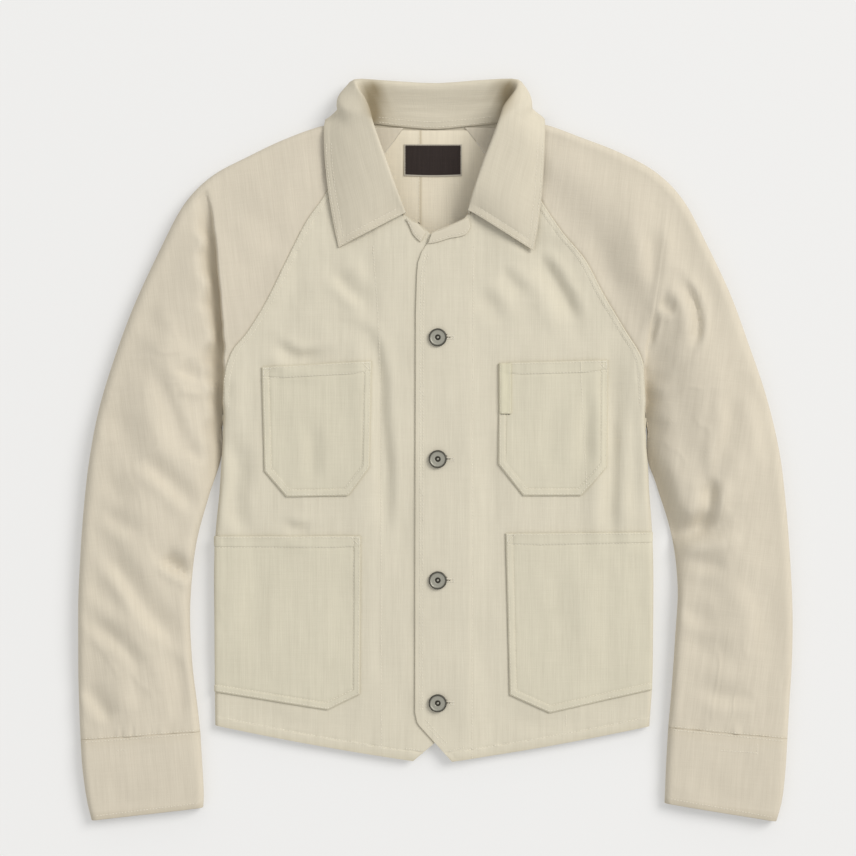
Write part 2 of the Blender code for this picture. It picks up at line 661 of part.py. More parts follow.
def pocket_shares(lower):
    """Even steps across a pocket, with its clipped corners among them and finer steps near the side fold."""
    even = [i / POCKET_ACROSS for i in range(POCKET_ACROSS + 1)]
    corners = [corner[0] for corner in lower[1:-1]]
    kept = [share for share in even if all(abs(share - corner) > 0.04 for corner in corners)]
    extra = []
    if len(lower) == 3:
        extra = [share if lower[1][0] > 0.5 else 1.0 - share for share in POCKET_NEAR_SIDE]
    return sorted(kept + corners + extra)


def raised(x, y, side, above):
    """A point moved out from a front's outer face along its normal."""
    step = 0.2
    z = front_top(x, y, side)
    slope_x = (front_top(x + step, y, side) - front_top(x - step, y, side)) / (2.0 * step)
    slope_y = (front_top(x, y + step, side) - front_top(x, y - step, side)) / (2.0 * step)
    normal = np.array((-slope_x, -slope_y, 1.0))
    normal = normal / np.linalg.norm(normal)
    return tuple(np.array((x, y, z)) + normal * above)


def patch_rows(corners, across, down, height_at):
    (x0, y0), (x1, y1) = corners
    rows = []
    for j in range(down + 1):
        y = y0 + (y1 - y0) * j / down
        rows.append([(x, y, height_at(x, y)) for x in [x0 + (x1 - x0) * i / across for i in range(across + 1)]])
    return rows


def clear_scene():
    for obj in list(bpy.data.objects):
        bpy.data.objects.remove(obj, do_unlink=True)


def make_collection(name):
    collection = bpy.data.collections.new(name)
    bpy.context.scene.collection.children.link(collection)
    return collection


def make_material(name, colour, roughness, metallic=0.0):
    material = bpy.data.materials.new(name)
    material.use_nodes = True
    shader = material.node_tree.nodes["Principled BSDF"]
    shader.inputs["Base Color"].default_value = (*colour, 1.0)
    shader.inputs["Roughness"].default_value = roughness
    shader.inputs["Metallic"].default_value = metallic
    return material


def keep_rims_sharp(mesh):
    """Cut edges of the cloth stay crisp beside the smooth faces."""
    used = {}
    for face in mesh.polygons:
        for key in face.edge_keys:
            used[key] = used.get(key, 0) + 1
    for edge in mesh.edges:
        edge.use_edge_sharp = used[edge.key] == 1


def sheet(name, rows, wall, material, collection, flip=False, ring=False, both_sides=False):
    """A cloth sheet over rows of points, thickened inwards, or to both sides."""
    count = len(rows[0])
    points = [[value * MM for value in point] for row in rows for point in row]
    faces = []
    for i in range(len(rows) - 1):
        for j in range(count if ring else count - 1):
            k = (j + 1) % count
            corners = [i * count + j, i * count + k, (i + 1) * count + k, (i + 1) * count + j]
            faces.append(corners[::-1] if flip else corners)
    mesh = bpy.data.meshes.new(name)
    mesh.from_pydata(points, [], faces)
    mesh.shade_smooth()
    mesh.materials.append(material)
    keep_rims_sharp(mesh)
    obj = bpy.data.objects.new(name, mesh)
    collection.objects.link(obj)
    wall_modifier = obj.modifiers.new("Cloth", "SOLIDIFY")
    wall_modifier.thickness = wall * MM
    wall_modifier.offset = 0.0 if both_sides else -1.0
    return obj


def button(name, x, y, z, material, collection):
    """A turned metal button: a short shank, a rolled rim, a dished face and a raised centre."""
    radius = 0.5 * BUTTON_ACROSS
    profile = (
        (0.0, 2.6),
        (2.0, 2.5),
        (3.0, 2.0),
        (0.72 * radius, 2.3),
        (0.9 * radius, 3.1),
        (radius, 2.4),
        (0.9 * radius, 1.3),
        (3.2, 1.0),
        (3.2, 0.0),
        (0.0, 0.0),
    )
    mesh = bpy.data.meshes.new(name)
    points = [(r * MM, 0.0, h * MM) for r, h in profile]
    mesh.from_pydata(points, [(i, i + 1) for i in range(len(points) - 1)], [])
    mesh.materials.append(material)
    obj = bpy.data.objects.new(name, mesh)
    collection.objects.link(obj)
    obj.location = (x * MM, y * MM, z * MM)
    turn = obj.modifiers.new("Turn", "SCREW")
    turn.steps = 16
    turn.render_steps = 16
    turn.use_merge_vertices = True
    turn.merge_threshold = 0.00001
    turn.use_smooth_shade = True
    return obj


def main():
    clear_scene()
    jacket = make_collection("jacket_laid_flat")
    cloth = make_material("ecru_cloth", (0.69, 0.63, 0.49), 0.9)
    body_cloth = make_material("ecru_front_cloth", (0.71, 0.66, 0.51), 0.9)
    sleeve_cloth = make_material("ecru_sleeve_cloth", (0.63, 0.56, 0.44), 0.9)
    metal = make_material("button_metal", (0.22, 0.23, 0.21), 0.35, 1.0)
    label_cloth = make_material("label_cloth", (0.02, 0.016, 0.014), 0.7)

    for side, wearer in ((1, "left"), (-1, "right")):
        sheet("front_" + wearer, front_rows(side), CLOTH, body_cloth, jacket, flip=side < 0)
        sheet("sleeve_" + wearer, sleeve_sections(side), CLOTH, sleeve_cloth, jacket, flip=side > 0)
        sheet("back_" + wearer, back_rows(side), CLOTH, cloth, jacket, flip=side > 0)
        sheet("cuff_" + wearer, cuff_sections(side), CUFF_CLOTH, sleeve_cloth, jacket, flip=side > 0, ring=True)

    sheet("collar", collar_rows(), COLLAR_CLOTH, cloth, jacket, both_sides=True)

    pocket_outer = LAY_GAP + POCKET_CLOTH
    for name, cut in POCKETS.items():
        rows = pocket_rows(cut["mouth"], cut["lower"], cut["side"], pocket_outer)
        sheet(name, rows, POCKET_CLOTH, body_cloth, jacket, flip=True)

    for side, wearer in ((1, "left"), (-1, "right")):
        rows = band_rows(side, LAY_GAP + CLOTH)
        sheet("neck_band_" + wearer, rows, CLOTH, cloth, jacket, flip=side > 0)

    tab_rise = pocket_outer + LAY_GAP + TRIM_CLOTH
    tab_rows = patch_rows(TAB_CORNERS, 2, 4, lambda x, y: front_top(x, y, 1) + tab_rise)
    sheet("pocket_tab", tab_rows, TRIM_CLOTH, cloth, jacket, flip=True)

    label_rise = CLOTH + LAY_GAP + TRIM_CLOTH
    label_rows = patch_rows(LABEL_CORNERS, 4, 6, lambda x, y: collar_lift(x, y) + label_rise)
    sheet("neck_label", label_rows, TRIM_CLOTH, label_cloth, jacket, flip=True)

    for number, y in enumerate(BUTTON_YS, 1):
        height = front_top(BUTTON_X, y, 1) + LAY_GAP
        button(f"button_{number}", BUTTON_X, y, height, metal, jacket)


main()
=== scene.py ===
import math

import bpy
import numpy as np
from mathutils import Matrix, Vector
from mathutils.bvhtree import BVHTree


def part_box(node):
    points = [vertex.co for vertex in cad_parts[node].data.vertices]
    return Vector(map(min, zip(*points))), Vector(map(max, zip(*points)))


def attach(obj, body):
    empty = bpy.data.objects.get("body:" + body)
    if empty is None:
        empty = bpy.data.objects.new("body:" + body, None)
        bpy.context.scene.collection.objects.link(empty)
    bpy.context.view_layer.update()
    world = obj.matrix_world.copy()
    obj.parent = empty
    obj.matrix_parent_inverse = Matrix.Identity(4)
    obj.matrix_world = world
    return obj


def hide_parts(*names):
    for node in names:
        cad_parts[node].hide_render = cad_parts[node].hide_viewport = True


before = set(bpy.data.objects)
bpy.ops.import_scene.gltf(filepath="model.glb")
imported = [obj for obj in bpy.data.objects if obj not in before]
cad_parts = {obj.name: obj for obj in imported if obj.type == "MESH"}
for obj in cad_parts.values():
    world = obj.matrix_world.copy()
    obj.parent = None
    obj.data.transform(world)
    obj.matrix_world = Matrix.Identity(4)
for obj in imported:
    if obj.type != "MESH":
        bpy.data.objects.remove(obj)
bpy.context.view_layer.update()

mm = 0.001
scene = bpy.context.scene

# All tables are in millimetres: x across the jacket, y from hem to collar, z up from the floor.
# side is +1 for the wearer's left half and -1 for the right one.


view = {
    "overX": -7.4,
    "overY": 22.5,
    "across": 856.0,  # what the picture spans at the height of the cloth
    "atHeight": 12.0,
    "lens": 120.0,
}
camData = bpy.data.cameras.new("overheadCamera")
camData.lens = view["lens"]
camData.sensor_width = 36.0
camData.clip_end = 50.0
camera = bpy.data.objects.new("overheadCamera", camData)
camera.location = (
    view["overX"] * mm,
    view["overY"] * mm,
    (view["atHeight"] + view["across"] * view["lens"] / 36.0) * mm,
)
scene.collection.objects.link(camera)
scene.camera = camera
scene.view_settings.view_transform = "Standard"

studio = {
    "key": {"toward": (0.62, 0.42, 0.66), "away": 20.0, "watts": 2700.0, "size": 11.5, "colour": (1.0, 0.985, 0.965)},
    "fill": {"toward": (-0.6, -0.1, 0.8), "away": 8.0, "watts": 40.0, "size": 6.0, "colour": (0.93, 0.96, 1.0)},
    "sky": 0.60,
    "floor": (0.565, 0.563, 0.556),
    "floorGlow": 0.265,  # a lit sweep, which keeps its shadows light
}


def addLight(name, given):
    data = bpy.data.lights.new(name, "AREA")
    data.energy = given["watts"]
    data.shape = "DISK"
    data.size = given["size"]
    data.color = given["colour"]
    lamp = bpy.data.objects.new(name, data)
    lamp.location = Vector(given["toward"]).normalized() * given["away"]
    lamp.rotation_euler = (-lamp.location).to_track_quat("-Z", "Y").to_euler()
    scene.collection.objects.link(lamp)


for lampName in ("key", "fill"):
    addLight(lampName + "Light", studio[lampName])
world = bpy.data.worlds.new("studioWorld")
scene.world = world
world.use_nodes = True
world.node_tree.nodes["Background"].inputs["Color"].default_value = (1.0, 1.0, 1.0, 1.0)
world.node_tree.nodes["Background"].inputs["Strength"].default_value = studio["sky"]
print("camera and lights are set")


def smooth(low, high, value):
    share = np.clip((np.asarray(value, float) - low) / (high - low), 0.0, 1.0)
    return share * share * (3.0 - 2.0 * share)


def flowing(knots, values, at):
    knots = np.asarray(knots, float)
    values = np.asarray(values, float)
    at = np.clip(np.asarray(at, float), knots[0], knots[-1])
    slopes = np.gradient(values, knots)
    level = np.diff(values) == 0
    slopes[:-1][level] = 0.0
    slopes[1:][level] = 0.0
    i = np.clip(np.searchsorted(knots, at, side="right") - 1, 0, len(knots) - 2)
    span = knots[i + 1] - knots[i]
    t = (at - knots[i]) / span
    bend = slopes[i] * t * (1.0 - t) ** 2 - slopes[i + 1] * t * t * (1.0 - t)
    return values[i] + (values[i + 1] - values[i]) * t * t * (3.0 - 2.0 * t) + span * bend


def softNoise(x, y, sizeX, sizeY, seed):  # smooth bumps from -1 to 1
    gx = np.asarray(x, float) / sizeX + 1000.0
    gy = np.asarray(y, float) / sizeY + 1000.0
    table = np.random.RandomState(seed).uniform(-1.0, 1.0, (97, 97))
    ix = np.floor(gx).astype(int)
    iy = np.floor(gy).astype(int)
    fx = gx - ix
    fy = gy - iy
    fx = fx * fx * fx * (fx * (fx * 6.0 - 15.0) + 10.0)
    fy = fy * fy * fy * (fy * (fy * 6.0 - 15.0) + 10.0)
    a = table[ix % 97, iy % 97]
    b = table[(ix + 1) % 97, iy % 97]
    c = table[ix % 97, (iy + 1) % 97]
    d = table[(ix + 1) % 97, (iy + 1) % 97]
    return (a * (1 - fx) + b * fx) * (1 - fy) + (c * (1 - fx) + d * fx) * fy


def toPath(x, y, points):  # distance to a line, the share along it, and +1 on its left or -1 on its right
    points = np.asarray(points, float)
    steps = np.linalg.norm(np.diff(points, axis=0), axis=1)
    run = np.concatenate([[0.0], np.cumsum(steps)])
    best = np.full(np.shape(x), 1e9)
    where = np.zeros(np.shape(x))
    hand = np.zeros(np.shape(x))
    for i in range(len(steps)):
        ax, ay = points[i]
        dx, dy = points[i + 1] - points[i]
        t = np.clip(((x - ax) * dx + (y - ay) * dy) / (steps[i] ** 2), 0.0, 1.0)
        away = np.hypot(x - ax - dx * t, y - ay - dy * t)
        nearer = away < best
        best = np.where(nearer, away, best)
        where = np.where(nearer, (run[i] + t * steps[i]) / run[-1], where)
        hand = np.where(nearer, np.tanh((dx * (y - ay) - dy * (x - ax)) / steps[i] / 1.5), hand)
    return best, where, hand


def rounded(points, count=16):  # a smooth line through a few points
    points = np.asarray(points, float)
    if len(points) == 2:
        return points
    run = np.concatenate([[0.0], np.cumsum(np.linalg.norm(np.diff(points, axis=0), axis=1))])
    at = np.linspace(0.0, run[-1], count)
    return np.stack([flowing(run, points[:, 0], at), flowing(run, points[:, 1], at)], axis=1)


def spread(total, step, dense=()):  # places from 0 to total, closer together near the dense offsets
    places = list(np.linspace(0.0, total, max(int(round(total / step)), 2) + 1))
    for offset in dense:
        places += [offset + d for d in (-1.5, -0.8, -0.35, 0.0, 0.35, 0.8, 1.5) if 0.0 < offset + d < total]
    places = sorted(places)
    kept = [places[0]]
    for place in places[1:]:
        if place - kept[-1] > 0.3:
            kept.append(place)
    kept[-1] = total
    return np.array(kept)


# Each crease: its line, depth (less than 0 is a ridge), half width, and lean from -1 to 1.
# A lean above 0 makes the right-hand side of the line the steep one.
creases = {
    "rightSleeve": [
        ([(-283, 92), (-262, 34), (-243, -8)], 2.6, 7.5, -0.3),
        ([(-297, -4), (-266, -31), (-234, -62)], 3.4, 7.0, 0.4),
        ([(-331, -56), (-314, -72), (-290, -84)], 2.0, 7.0, 0.3),
        ([(-333, -96), (-304, -134), (-283, -166), (-252, -194)], 3.8, 8.0, 0.5),
        ([(-347, -168), (-308, -199), (-288, -224)], 2.8, 6.5, 0.3),
        ([(-276, -106), (-258, -119), (-240, -129)], 6.2, 6.0, 0.7),
        ([(-352, -232), (-338, -252), (-320, -274)], 2.4, 6.5, 0.3),
        ([(-262, -196), (-254, -235), (-257, -274)], 1.9, 7.0, -0.3),
        ([(-322, -196), (-300, -232), (-292, -262)], 1.6, 8.0, 0.3),
        ([(-318, 42), (-306, 8), (-300, -22)], 1.6, 9.0, 0.2),
        ([(-262, 148), (-252, 120), (-250, 96)], 1.4, 8.0, 0.0),
        ([(-290, 140), (-276, 124), (-262, 118)], 1.1, 8.0, 0.0),
        ([(-258, 84), (-246, 76), (-232, 72)], 2.2, 5.5, 0.6),
        ([(-256, 62), (-243, 58), (-231, 56)], -2.2, 5.0, 0.0),
        ([(-252, 4), (-240, -4), (-228, -14)], 1.6, 5.0, 0.5),
        ([(-330, -24), (-318, -40), (-300, -56)], 1.2, 8.0, 0.2),
        ([(-345, -128), (-330, -146), (-312, -162)], 1.4, 7.0, 0.3),
        ([(-214, 226), (-196, 196), (-184, 168)], 0.8, 10.0, 0.0),
        ([(-196, 252), (-166, 214), (-150, 196)], 0.7, 10.0, 0.0),
    ],
    "leftSleeve": [
        ([(160, 226), (171, 178), (187, 150)], 1.3, 8.0, 0.0),
        ([(214, 224), (217, 190), (219, 162)], 2.4, 7.0, 0.2),
        ([(233, 240), (228, 200), (222, 158), (216, 112)], -1.7, 5.4, 0.0),
        ([(193, 246), (197, 200), (199, 158)], -1.6, 9.0, 0.0),
        ([(243, 172), (256, 152), (262, 124), (256, 98)], 5.0, 4.6, -0.4),
        ([(222, 148), (230, 144), (240, 140)], 3.0, 5.0, 0.3),
        ([(222, 138), (218, 122), (214, 104)], 1.8, 3.0, -0.4),
        ([(262, 190), (272, 150), (272, 112)], 1.2, 8.0, 0.0),
        ([(232, 70), (236, 20), (240, -30), (250, -58)], -1.6, 8.0, 0.0),
        ([(278, -24), (275, -42), (272, -58), (266, -73), (258, -82)], 5.8, 6.0, -0.2),
        ([(296, -64), (276, -76), (256, -80), (238, -82), (214, -86)], 7.5, 9.0, -0.1),
        ([(293, 66), (291, 12), (284, -4), (286, -38)], 2.8, 6.5, 0.4),
        ([(322, 64), (331, 24), (335, -22)], 2.6, 7.5, 0.2),
        ([(246, -107), (268, -112), (292, -114)], 2.0, 7.0, 0.3),
        ([(262, -60), (268, -30), (264, 10)], 1.6, 8.0, 0.0),
        ([(300, -120), (322, -150), (330, -196)], 1.5, 9.0, 0.3),
        ([(248, -186), (276, -200), (306, -204)], 1.4, 9.0, 0.0),
        ([(262, -236), (290, -246), (322, -244)], 1.8, 7.0, 0.2),
        ([(248, -150), (258, -164), (282, -172)], 1.3, 7.0, 0.3),
        ([(300, 150), (312, 110), (316, 84)], 1.3, 9.0, 0.2),
    ],
    "rightFront": [
        ([(-101, 180), (-88, 163), (-68, 146)], 2.6, 6.0, 0.4),
        ([(-99, 128), (-66, 114), (-56, 84), (-54, 40), (-49, -20), (-52, -104)], 2.8, 6.5, -0.5),
        ([(-164, 112), (-140, 94), (-108, 97)], 2.8, 5.5, -0.4),
        ([(-207, 16), (-197, -12), (-199, -66), (-182, -86)], 2.4, 7.0, 0.3),
        ([(-123, 32), (-122, 0), (-124, -34)], 1.2, 6.0, 0.0),
        ([(-199, 84), (-199, 54), (-201, 26)], -1.6, 6.0, 0.0),
        ([(-152, -72), (-140, -78), (-124, -76)], 2.0, 5.0, -0.4),
        ([(-130, 196), (-142, 160), (-158, 130)], 1.3, 8.0, 0.2),
        ([(-84, -110), (-90, -170), (-86, -236)], 0.9, 8.0, 0.0),
        ([(-176, -100), (-182, -160), (-178, -220)], 0.9, 9.0, 0.0),
        ([(-36, 60), (-34, 0), (-38, -60)], -0.8, 9.0, 0.0),
        ([(-196, -262), (-150, -274), (-100, -284)], 0.7, 8.0, 0.0),
        ([(-70, 205), (-66, 160), (-64, 120)], 0.8, 8.0, 0.0),
    ],
    "leftFront": [
        ([(98, 200), (124, 162), (142, 124)], 3.8, 7.0, -0.4),
        ([(64, 182), (76, 168), (90, 154)], 1.8, 6.5, -0.3),
        ([(180, 116), (176, 62), (183, -6), (179, -80)], 3.4, 9.0, 0.3),
        ([(154, 62), (151, 20), (150, -20)], 1.5, 6.0, 0.0),
        ([(196, 60), (200, 0), (198, -70)], 1.2, 6.0, 0.0),
        ([(177, 40), (175, -10), (174, -60), (176, -96)], 2.6, 6.0, -0.2),
        ([(191, 44), (189, 0), (190, -50), (191, -98)], -2.0, 6.5, 0.0),
        ([(118, 60), (114, 10), (118, -30)], 0.8, 7.0, 0.0),
        ([(118, -104), (126, -170), (120, -236)], 0.9, 9.0, 0.0),
        ([(176, -104), (172, -160), (178, -226)], 1.0, 8.0, 0.0),
        ([(52, 40), (56, -30), (52, -110)], 1.0, 8.0, 0.0),
        ([(40, 158), (58, 142), (64, 122)], 1.3, 7.0, -0.2),
        ([(84, 226), (104, 206), (132, 196)], 1.2, 8.0, 0.0),
        ([(60, -262), (110, -276), (160, -268)], 0.7, 8.0, 0.0),
    ],
}
allCreases = [(rounded(line), *rest) for group in creases.values() for line, *rest in group]

# Patches of fine crumpling: middle, half sizes, turn in degrees, height.
crumples = [
    ((-292, 10), (46, 76), 28, 0.9),
    ((-268, -110), (34, 60), 38, 1.0),
    ((-316, -210), (44, 66), 32, 0.9),
    ((-262, 80), (30, 40), 10, 0.8),
    ((-292, -324), (46, 26), 8, 0.5),
    ((272, 40), (44, 80), -18, 0.9),
    ((282, -96), (50, 52), -10, 0.9),
    ((292, -220), (48, 60), -8, 0.8),
    ((290, -324), (46, 26), 4, 0.45),
    ((236, 190), (26, 50), -8, 0.5),
    ((-196, -30), (22, 70), 8, 0.6),
    ((-130, 130), (52, 36), 12, 0.5),
    ((120, 150), (40, 40), -30, 0.6),
    ((196, -20), (22, 90), 2, 0.55),
    ((0, -276), (150, 26), 0, 0.35),
]


def crumpleField(x, y):
    total = np.zeros(np.shape(x))
    for order, ((midX, midY), (reachX, reachY), turn, height) in enumerate(crumples):
        a = math.radians(turn)
        u = (x - midX) * math.cos(a) + (y - midY) * math.sin(a)
        v = (y - midY) * math.cos(a) - (x - midX) * math.sin(a)
        mask = np.exp(-((u / reachX) ** 2) - (v / reachY) ** 2)
        warp = 5.0 * softNoise(u, v, 19.0, 23.0, 700 + order)
        wave = softNoise(u + warp, v - warp, 20.0, 33.0, 800 + order)
        total += 0.9 * height * mask * (np.clip(1.0 - 2.0 * np.abs(wave), 0.0, 1.0) ** 2 - 0.25)
    return total


def creaseField(x, y):
    x = np.asarray(x, float)
    y = np.asarray(y, float)
    total = np.zeros(np.shape(x))
    for points, depth, width, lean in allCreases:
        reach = 5.0 * width
        low = points.min(axis=0) - reach
        high = points.max(axis=0) + reach
        near = (x > low[0]) & (x < high[0]) & (y > low[1]) & (y < high[1])
        if not near.any():
            continue
        away, share, hand = toPath(x[near], y[near], points)
        ends = smooth(0.0, 0.3, share) * (1.0 - smooth(0.7, 1.0, share))
        ends = 0.15 + 0.85 * ends
        d = away / (1.25 * width * (1.0 + 0.6 * lean * hand))
        trough = np.exp(-d * d)
        beside = 0.34 * np.exp(-(((d - 1.9) / 0.95) ** 2)) if depth > 0 else 0.0
        total[near] += 1.2 * depth * ends * (beside - trough)
    broad = 1.1 * softNoise(x, y, 34.0, 62.0, 3) + 0.34 * softNoise(x, y, 17.0, 31.0, 4)
    fine = 0.1 * softNoise(x, y, 6.5, 11.0, 5)
    return total + broad + fine + crumpleField(x, y)


body = {
    "cloth": 1.15,  # wall of the visible sheet
    "seamGap": 0.06,
    "lapRise": 1.8,
    "lapFlat": 29.0,
    "lapEnd": 56.0,
    "fanTop": -80.0,
    "underarmClosed": -14.0,
    "centreBackX": -14.9,
    "sideX": 215.0,
    "sideWrap": 7.0,
    "seamStrip": 9.0,
    "hem": (-314.0, 0.137, 0.00018),  # centre, slope, curve
    "backHem": (-288.0, 0.05),
    "rows": {  # by y
        "y": (-315.0, -275.0, -240.0, -180.0, -90.0, -28.0, 40.0, 90.0, 180.0, 250.0, 330.0),
        "foldMinus": (-219.5, -220.6, -221.0, -221.4, -220.8, -215.0, -212.2, -211.4, -211.4, -211.4, -211.4),
        "foldPlus": (213.0, 214.6, 217.1, 218.2, 217.6, 213.4, 210.8, 210.6, 210.6, 210.6, 210.6),
        "edgeHeight": (7.8, 8.6, 9.6, 11.0, 12.5, 13.6, 14.6, 15.2, 16.0, 16.4, 16.4),
        "swell": (0.4, 1.0, 1.8, 3.0, 4.0, 4.4, 4.5, 4.2, 3.2, 1.4, 0.4),
    },
    "underarm": {  # the two creases into the underarm
        "y": (-56.0, -20.0, 10.0, 30.0, 48.0, 75.0, 100.0, 140.0, 180.0, 220.0, 250.0, 275.0),
        "xMinus": (-215.4, -214.6, -214.2, -213.9, -213.7, -213.4, -213.6, -215.6, -218.6, -222.6, -227.5, -232.0),
        "xPlus": (213.0, 212.4, 212.0, 211.8, 211.6, 210.6, 212.6, 219.0, 225.0, 231.0, 234.0, 238.0),
        "depthMinus": (0.0, 3.0, 9.0, 11.5, 12.5, 13.0, 13.0, 13.0, 13.0, 9.5, 3.0, 0.0),
        "depthPlus": (0.0, 2.5, 9.0, 12.0, 12.5, 8.5, 3.0, 0.9, 0.5, 0.3, 0.1, 0.0),
        "inward": 1.6,
        "outwardMinus": 12.5,
        "outwardPlus": 12.0,
        "flatMinus": 3.2,  # how flat the bottom is
        "flatPlus": 1.7,
    },
}
sleeve = {
    "cloth": 1.15,
    "innerFall": {  # the share of its height that the top loses at the inner edge below the underarm, by y
        "y": (-150.0, -92.0, -46.0, -10.0, 12.0, 42.0, 70.0),
        1: (0.0, 0.5, 0.78, 0.8, 0.62, 0.25, 0.0),
        -1: (0.0, 0.0, 0.2, 0.66, 0.74, 0.5, 0.0),
        "width": 12.5,
    },
    "names": ("seamX", "seamY", "edgeX", "edgeY", "backX", "backY", "crown", "edgeHeight", "tube"),
    -1: (
        (-64.4, 318.0, -72.5, 329.0, -32.0, 323.6, 16.8, 14.0, 0.0),
        (-89.4, 284.5, -110.4, 325.5, -49.0, 301.0, 18.0, 15.0, 0.0),
        (-114.4, 249.5, -150.0, 312.0, -83.0, 262.0, 20.0, 16.0, 0.0),
        (-130.4, 226.5, -188.4, 293.8, -112.0, 225.0, 21.6, 17.0, 0.0),
        (-148.4, 191.0, -224.2, 274.2, -140.0, 182.0, 23.0, 18.0, 0.0),
        (-168.4, 150.5, -252.0, 245.5, -168.0, 142.0, 24.6, 19.0, 0.0),
        (-188.4, 118.0, -277.0, 198.0, -191.0, 112.0, 25.6, 20.0, 0.0),
        (-203.0, 100.0, -302.0, 144.0, -203.0, 94.0, 26.0, 20.0, 0.0),
        (-211.4, 75.0, -322.0, 90.0, -209.0, 68.0, 26.0, 20.0, 0.0),
        (-213.2, 45.0, -336.5, 42.0, -211.0, 40.0, 26.0, 20.0, 0.0),
        (-213.0, 1.5, -345.5, -4.0, -212.6, 1.5, 26.0, 20.0, 0.5),
        (-226.6, -45.0, -351.2, -50.0, -226.6, -45.0, 25.4, 19.5, 1.0),
        (-239.6, -95.0, -355.2, -102.0, -239.6, -95.0, 24.0, 18.5, 1.0),
        (-245.4, -155.0, -357.6, -160.0, -245.4, -155.0, 22.4, 17.5, 1.0),
        (-243.6, -210.0, -357.6, -214.0, -243.6, -210.0, 20.6, 16.5, 1.0),
        (-238.4, -255.0, -356.6, -260.0, -238.4, -255.0, 18.0, 15.5, 1.0),
        (-235.5, -281.0, -355.4, -289.4, -235.5, -281.0, 15.6, 14.6, 1.0),
    ),
    1: (
        (64.4, 318.0, 72.5, 329.0, 29.5, 324.0, 16.8, 14.0, 0.0),
        (84.6, 282.5, 108.5, 326.5, 50.6, 297.5, 18.0, 15.0, 0.0),
        (105.6, 249.5, 147.0, 313.0, 80.0, 258.0, 20.0, 16.0, 0.0),
        (127.0, 218.0, 184.0, 298.5, 110.0, 218.0, 21.6, 17.0, 0.0),
        (150.0, 190.0, 220.0, 279.0, 140.0, 178.0, 23.0, 18.0, 0.0),
        (168.0, 156.5, 248.0, 250.5, 167.0, 138.0, 24.6, 19.0, 0.0),
        (188.0, 123.0, 271.5, 206.5, 189.0, 98.0, 25.6, 20.0, 0.0),
        (206.0, 93.0, 295.3, 156.0, 203.0, 68.0, 26.0, 20.0, 0.0),
        (209.6, 67.5, 313.0, 108.0, 207.0, 50.0, 26.0, 20.0, 0.0),
        (210.8, 42.0, 331.5, 53.0, 209.0, 36.0, 26.0, 20.0, 0.0),
        (211.6, -2.0, 344.0, 0.0, 211.4, -2.0, 26.0, 20.0, 0.5),
        (221.6, -34.0, 350.2, -48.0, 221.6, -34.0, 25.4, 19.5, 1.0),
        (236.6, -84.0, 354.4, -98.0, 236.6, -84.0, 24.0, 18.5, 1.0),
        (242.6, -135.0, 357.4, -155.0, 242.6, -135.0, 22.4, 17.5, 1.0),
        (240.2, -185.0, 357.2, -205.0, 240.2, -185.0, 20.6, 16.5, 1.0),
        (236.4, -240.0, 354.6, -252.0, 236.4, -240.0, 18.0, 15.5, 1.0),
        (233.2, -277.0, 352.6, -288.2, 233.2, -277.0, 15.6, 14.6, 1.0),
    ),
}
cuff = {
    "cloth": 1.5,
    "names": ("innerX", "innerY", "outerX", "outerY", "height"),
    -1: (
        (-235.5, -281.12, -355.4, -289.5, 15.4),
        (-233.6, -312.0, -353.6, -318.0, 14.4),
        (-232.0, -342.0, -349.4, -349.0, 13.2),
        (-232.6, -357.6, -344.4, -370.4, 12.4),
    ),
    1: (
        (233.2, -277.12, 352.6, -288.3, 15.4),
        (231.2, -312.0, 350.8, -319.0, 14.4),
        (230.2, -337.0, 347.4, -350.0, 13.2),
        (229.6, -353.2, 341.6, -371.4, 12.4),
    ),
}
frontEdge = {  # (y, x) from the hem corner up to the neck
    1: (
        (-313.0, 18.0), (-292.0, -1.0), (-273.2, -17.9), (-262.0, -20.4), (138.0, -19.6), (176.0, -18.4),
        (188.0, -17.2), (198.5, -13.4), (206.0, -8.4), (212.0, -7.0), (218.0, -3.0), (225.5, 15.6),
        (231.5, 28.6), (238.0, 34.6), (258.0, 39.6), (288.0, 49.6), (306.0, 57.0), (316.0, 61.6),
    ),
    -1: (
        (-311.0, -22.4), (-292.5, -0.4), (-271.5, 23.6), (-262.0, 24.6), (138.0, 24.6), (186.0, 24.6),
        (198.5, 18.0), (207.5, 2.0), (216.5, -5.0), (226.0, -16.0), (235.5, -31.4), (254.0, -38.6),
        (284.0, -48.6), (306.0, -57.4), (316.0, -61.6),
    ),
}


def bodyValue(name, y):
    return flowing(body["rows"]["y"], body["rows"][name], y)


def underarmCrease(x, y):  # steep on the body's side, easy on the sleeve's
    table = body["underarm"]
    depth = 0.0
    for side, sign in (("Minus", -1.0), ("Plus", 1.0)):
        away = sign * (x - flowing(table["y"], table["x" + side], y)) + 0.8 * softNoise(y, y, 13.0, 17.0, 91)
        reach = table["outward" + side] * (1.0 + 0.3 * softNoise(y, y, 19.0, 23.0, 92))
        power = np.where(away > 0.0, table["flat" + side], 1.7)
        away = away / np.where(away > 0.0, reach, table["inward"])
        depth = depth + flowing(table["y"], table["depth" + side], y) * np.exp(-np.abs(away) ** power)
    return depth


def bodyArch(x, y):
    low = bodyValue("foldMinus", y)
    high = bodyValue("foldPlus", y)
    across = np.clip(2.0 * (x - low) / (high - low) - 1.0, -1.0, 1.0)
    return bodyValue("edgeHeight", y) + bodyValue("swell", y) * (1.0 - across * across)


def bodyTop(x, y):
    return bodyArch(x, y) - underarmCrease(x, y)


def lapStep(x, side):
    return body["lapRise"] * (1.0 - smooth(body["lapFlat"], body["lapEnd"], x)) if side > 0 else 0.0


def foldX(side, y):
    return bodyValue("foldPlus" if side > 0 else "foldMinus", y)


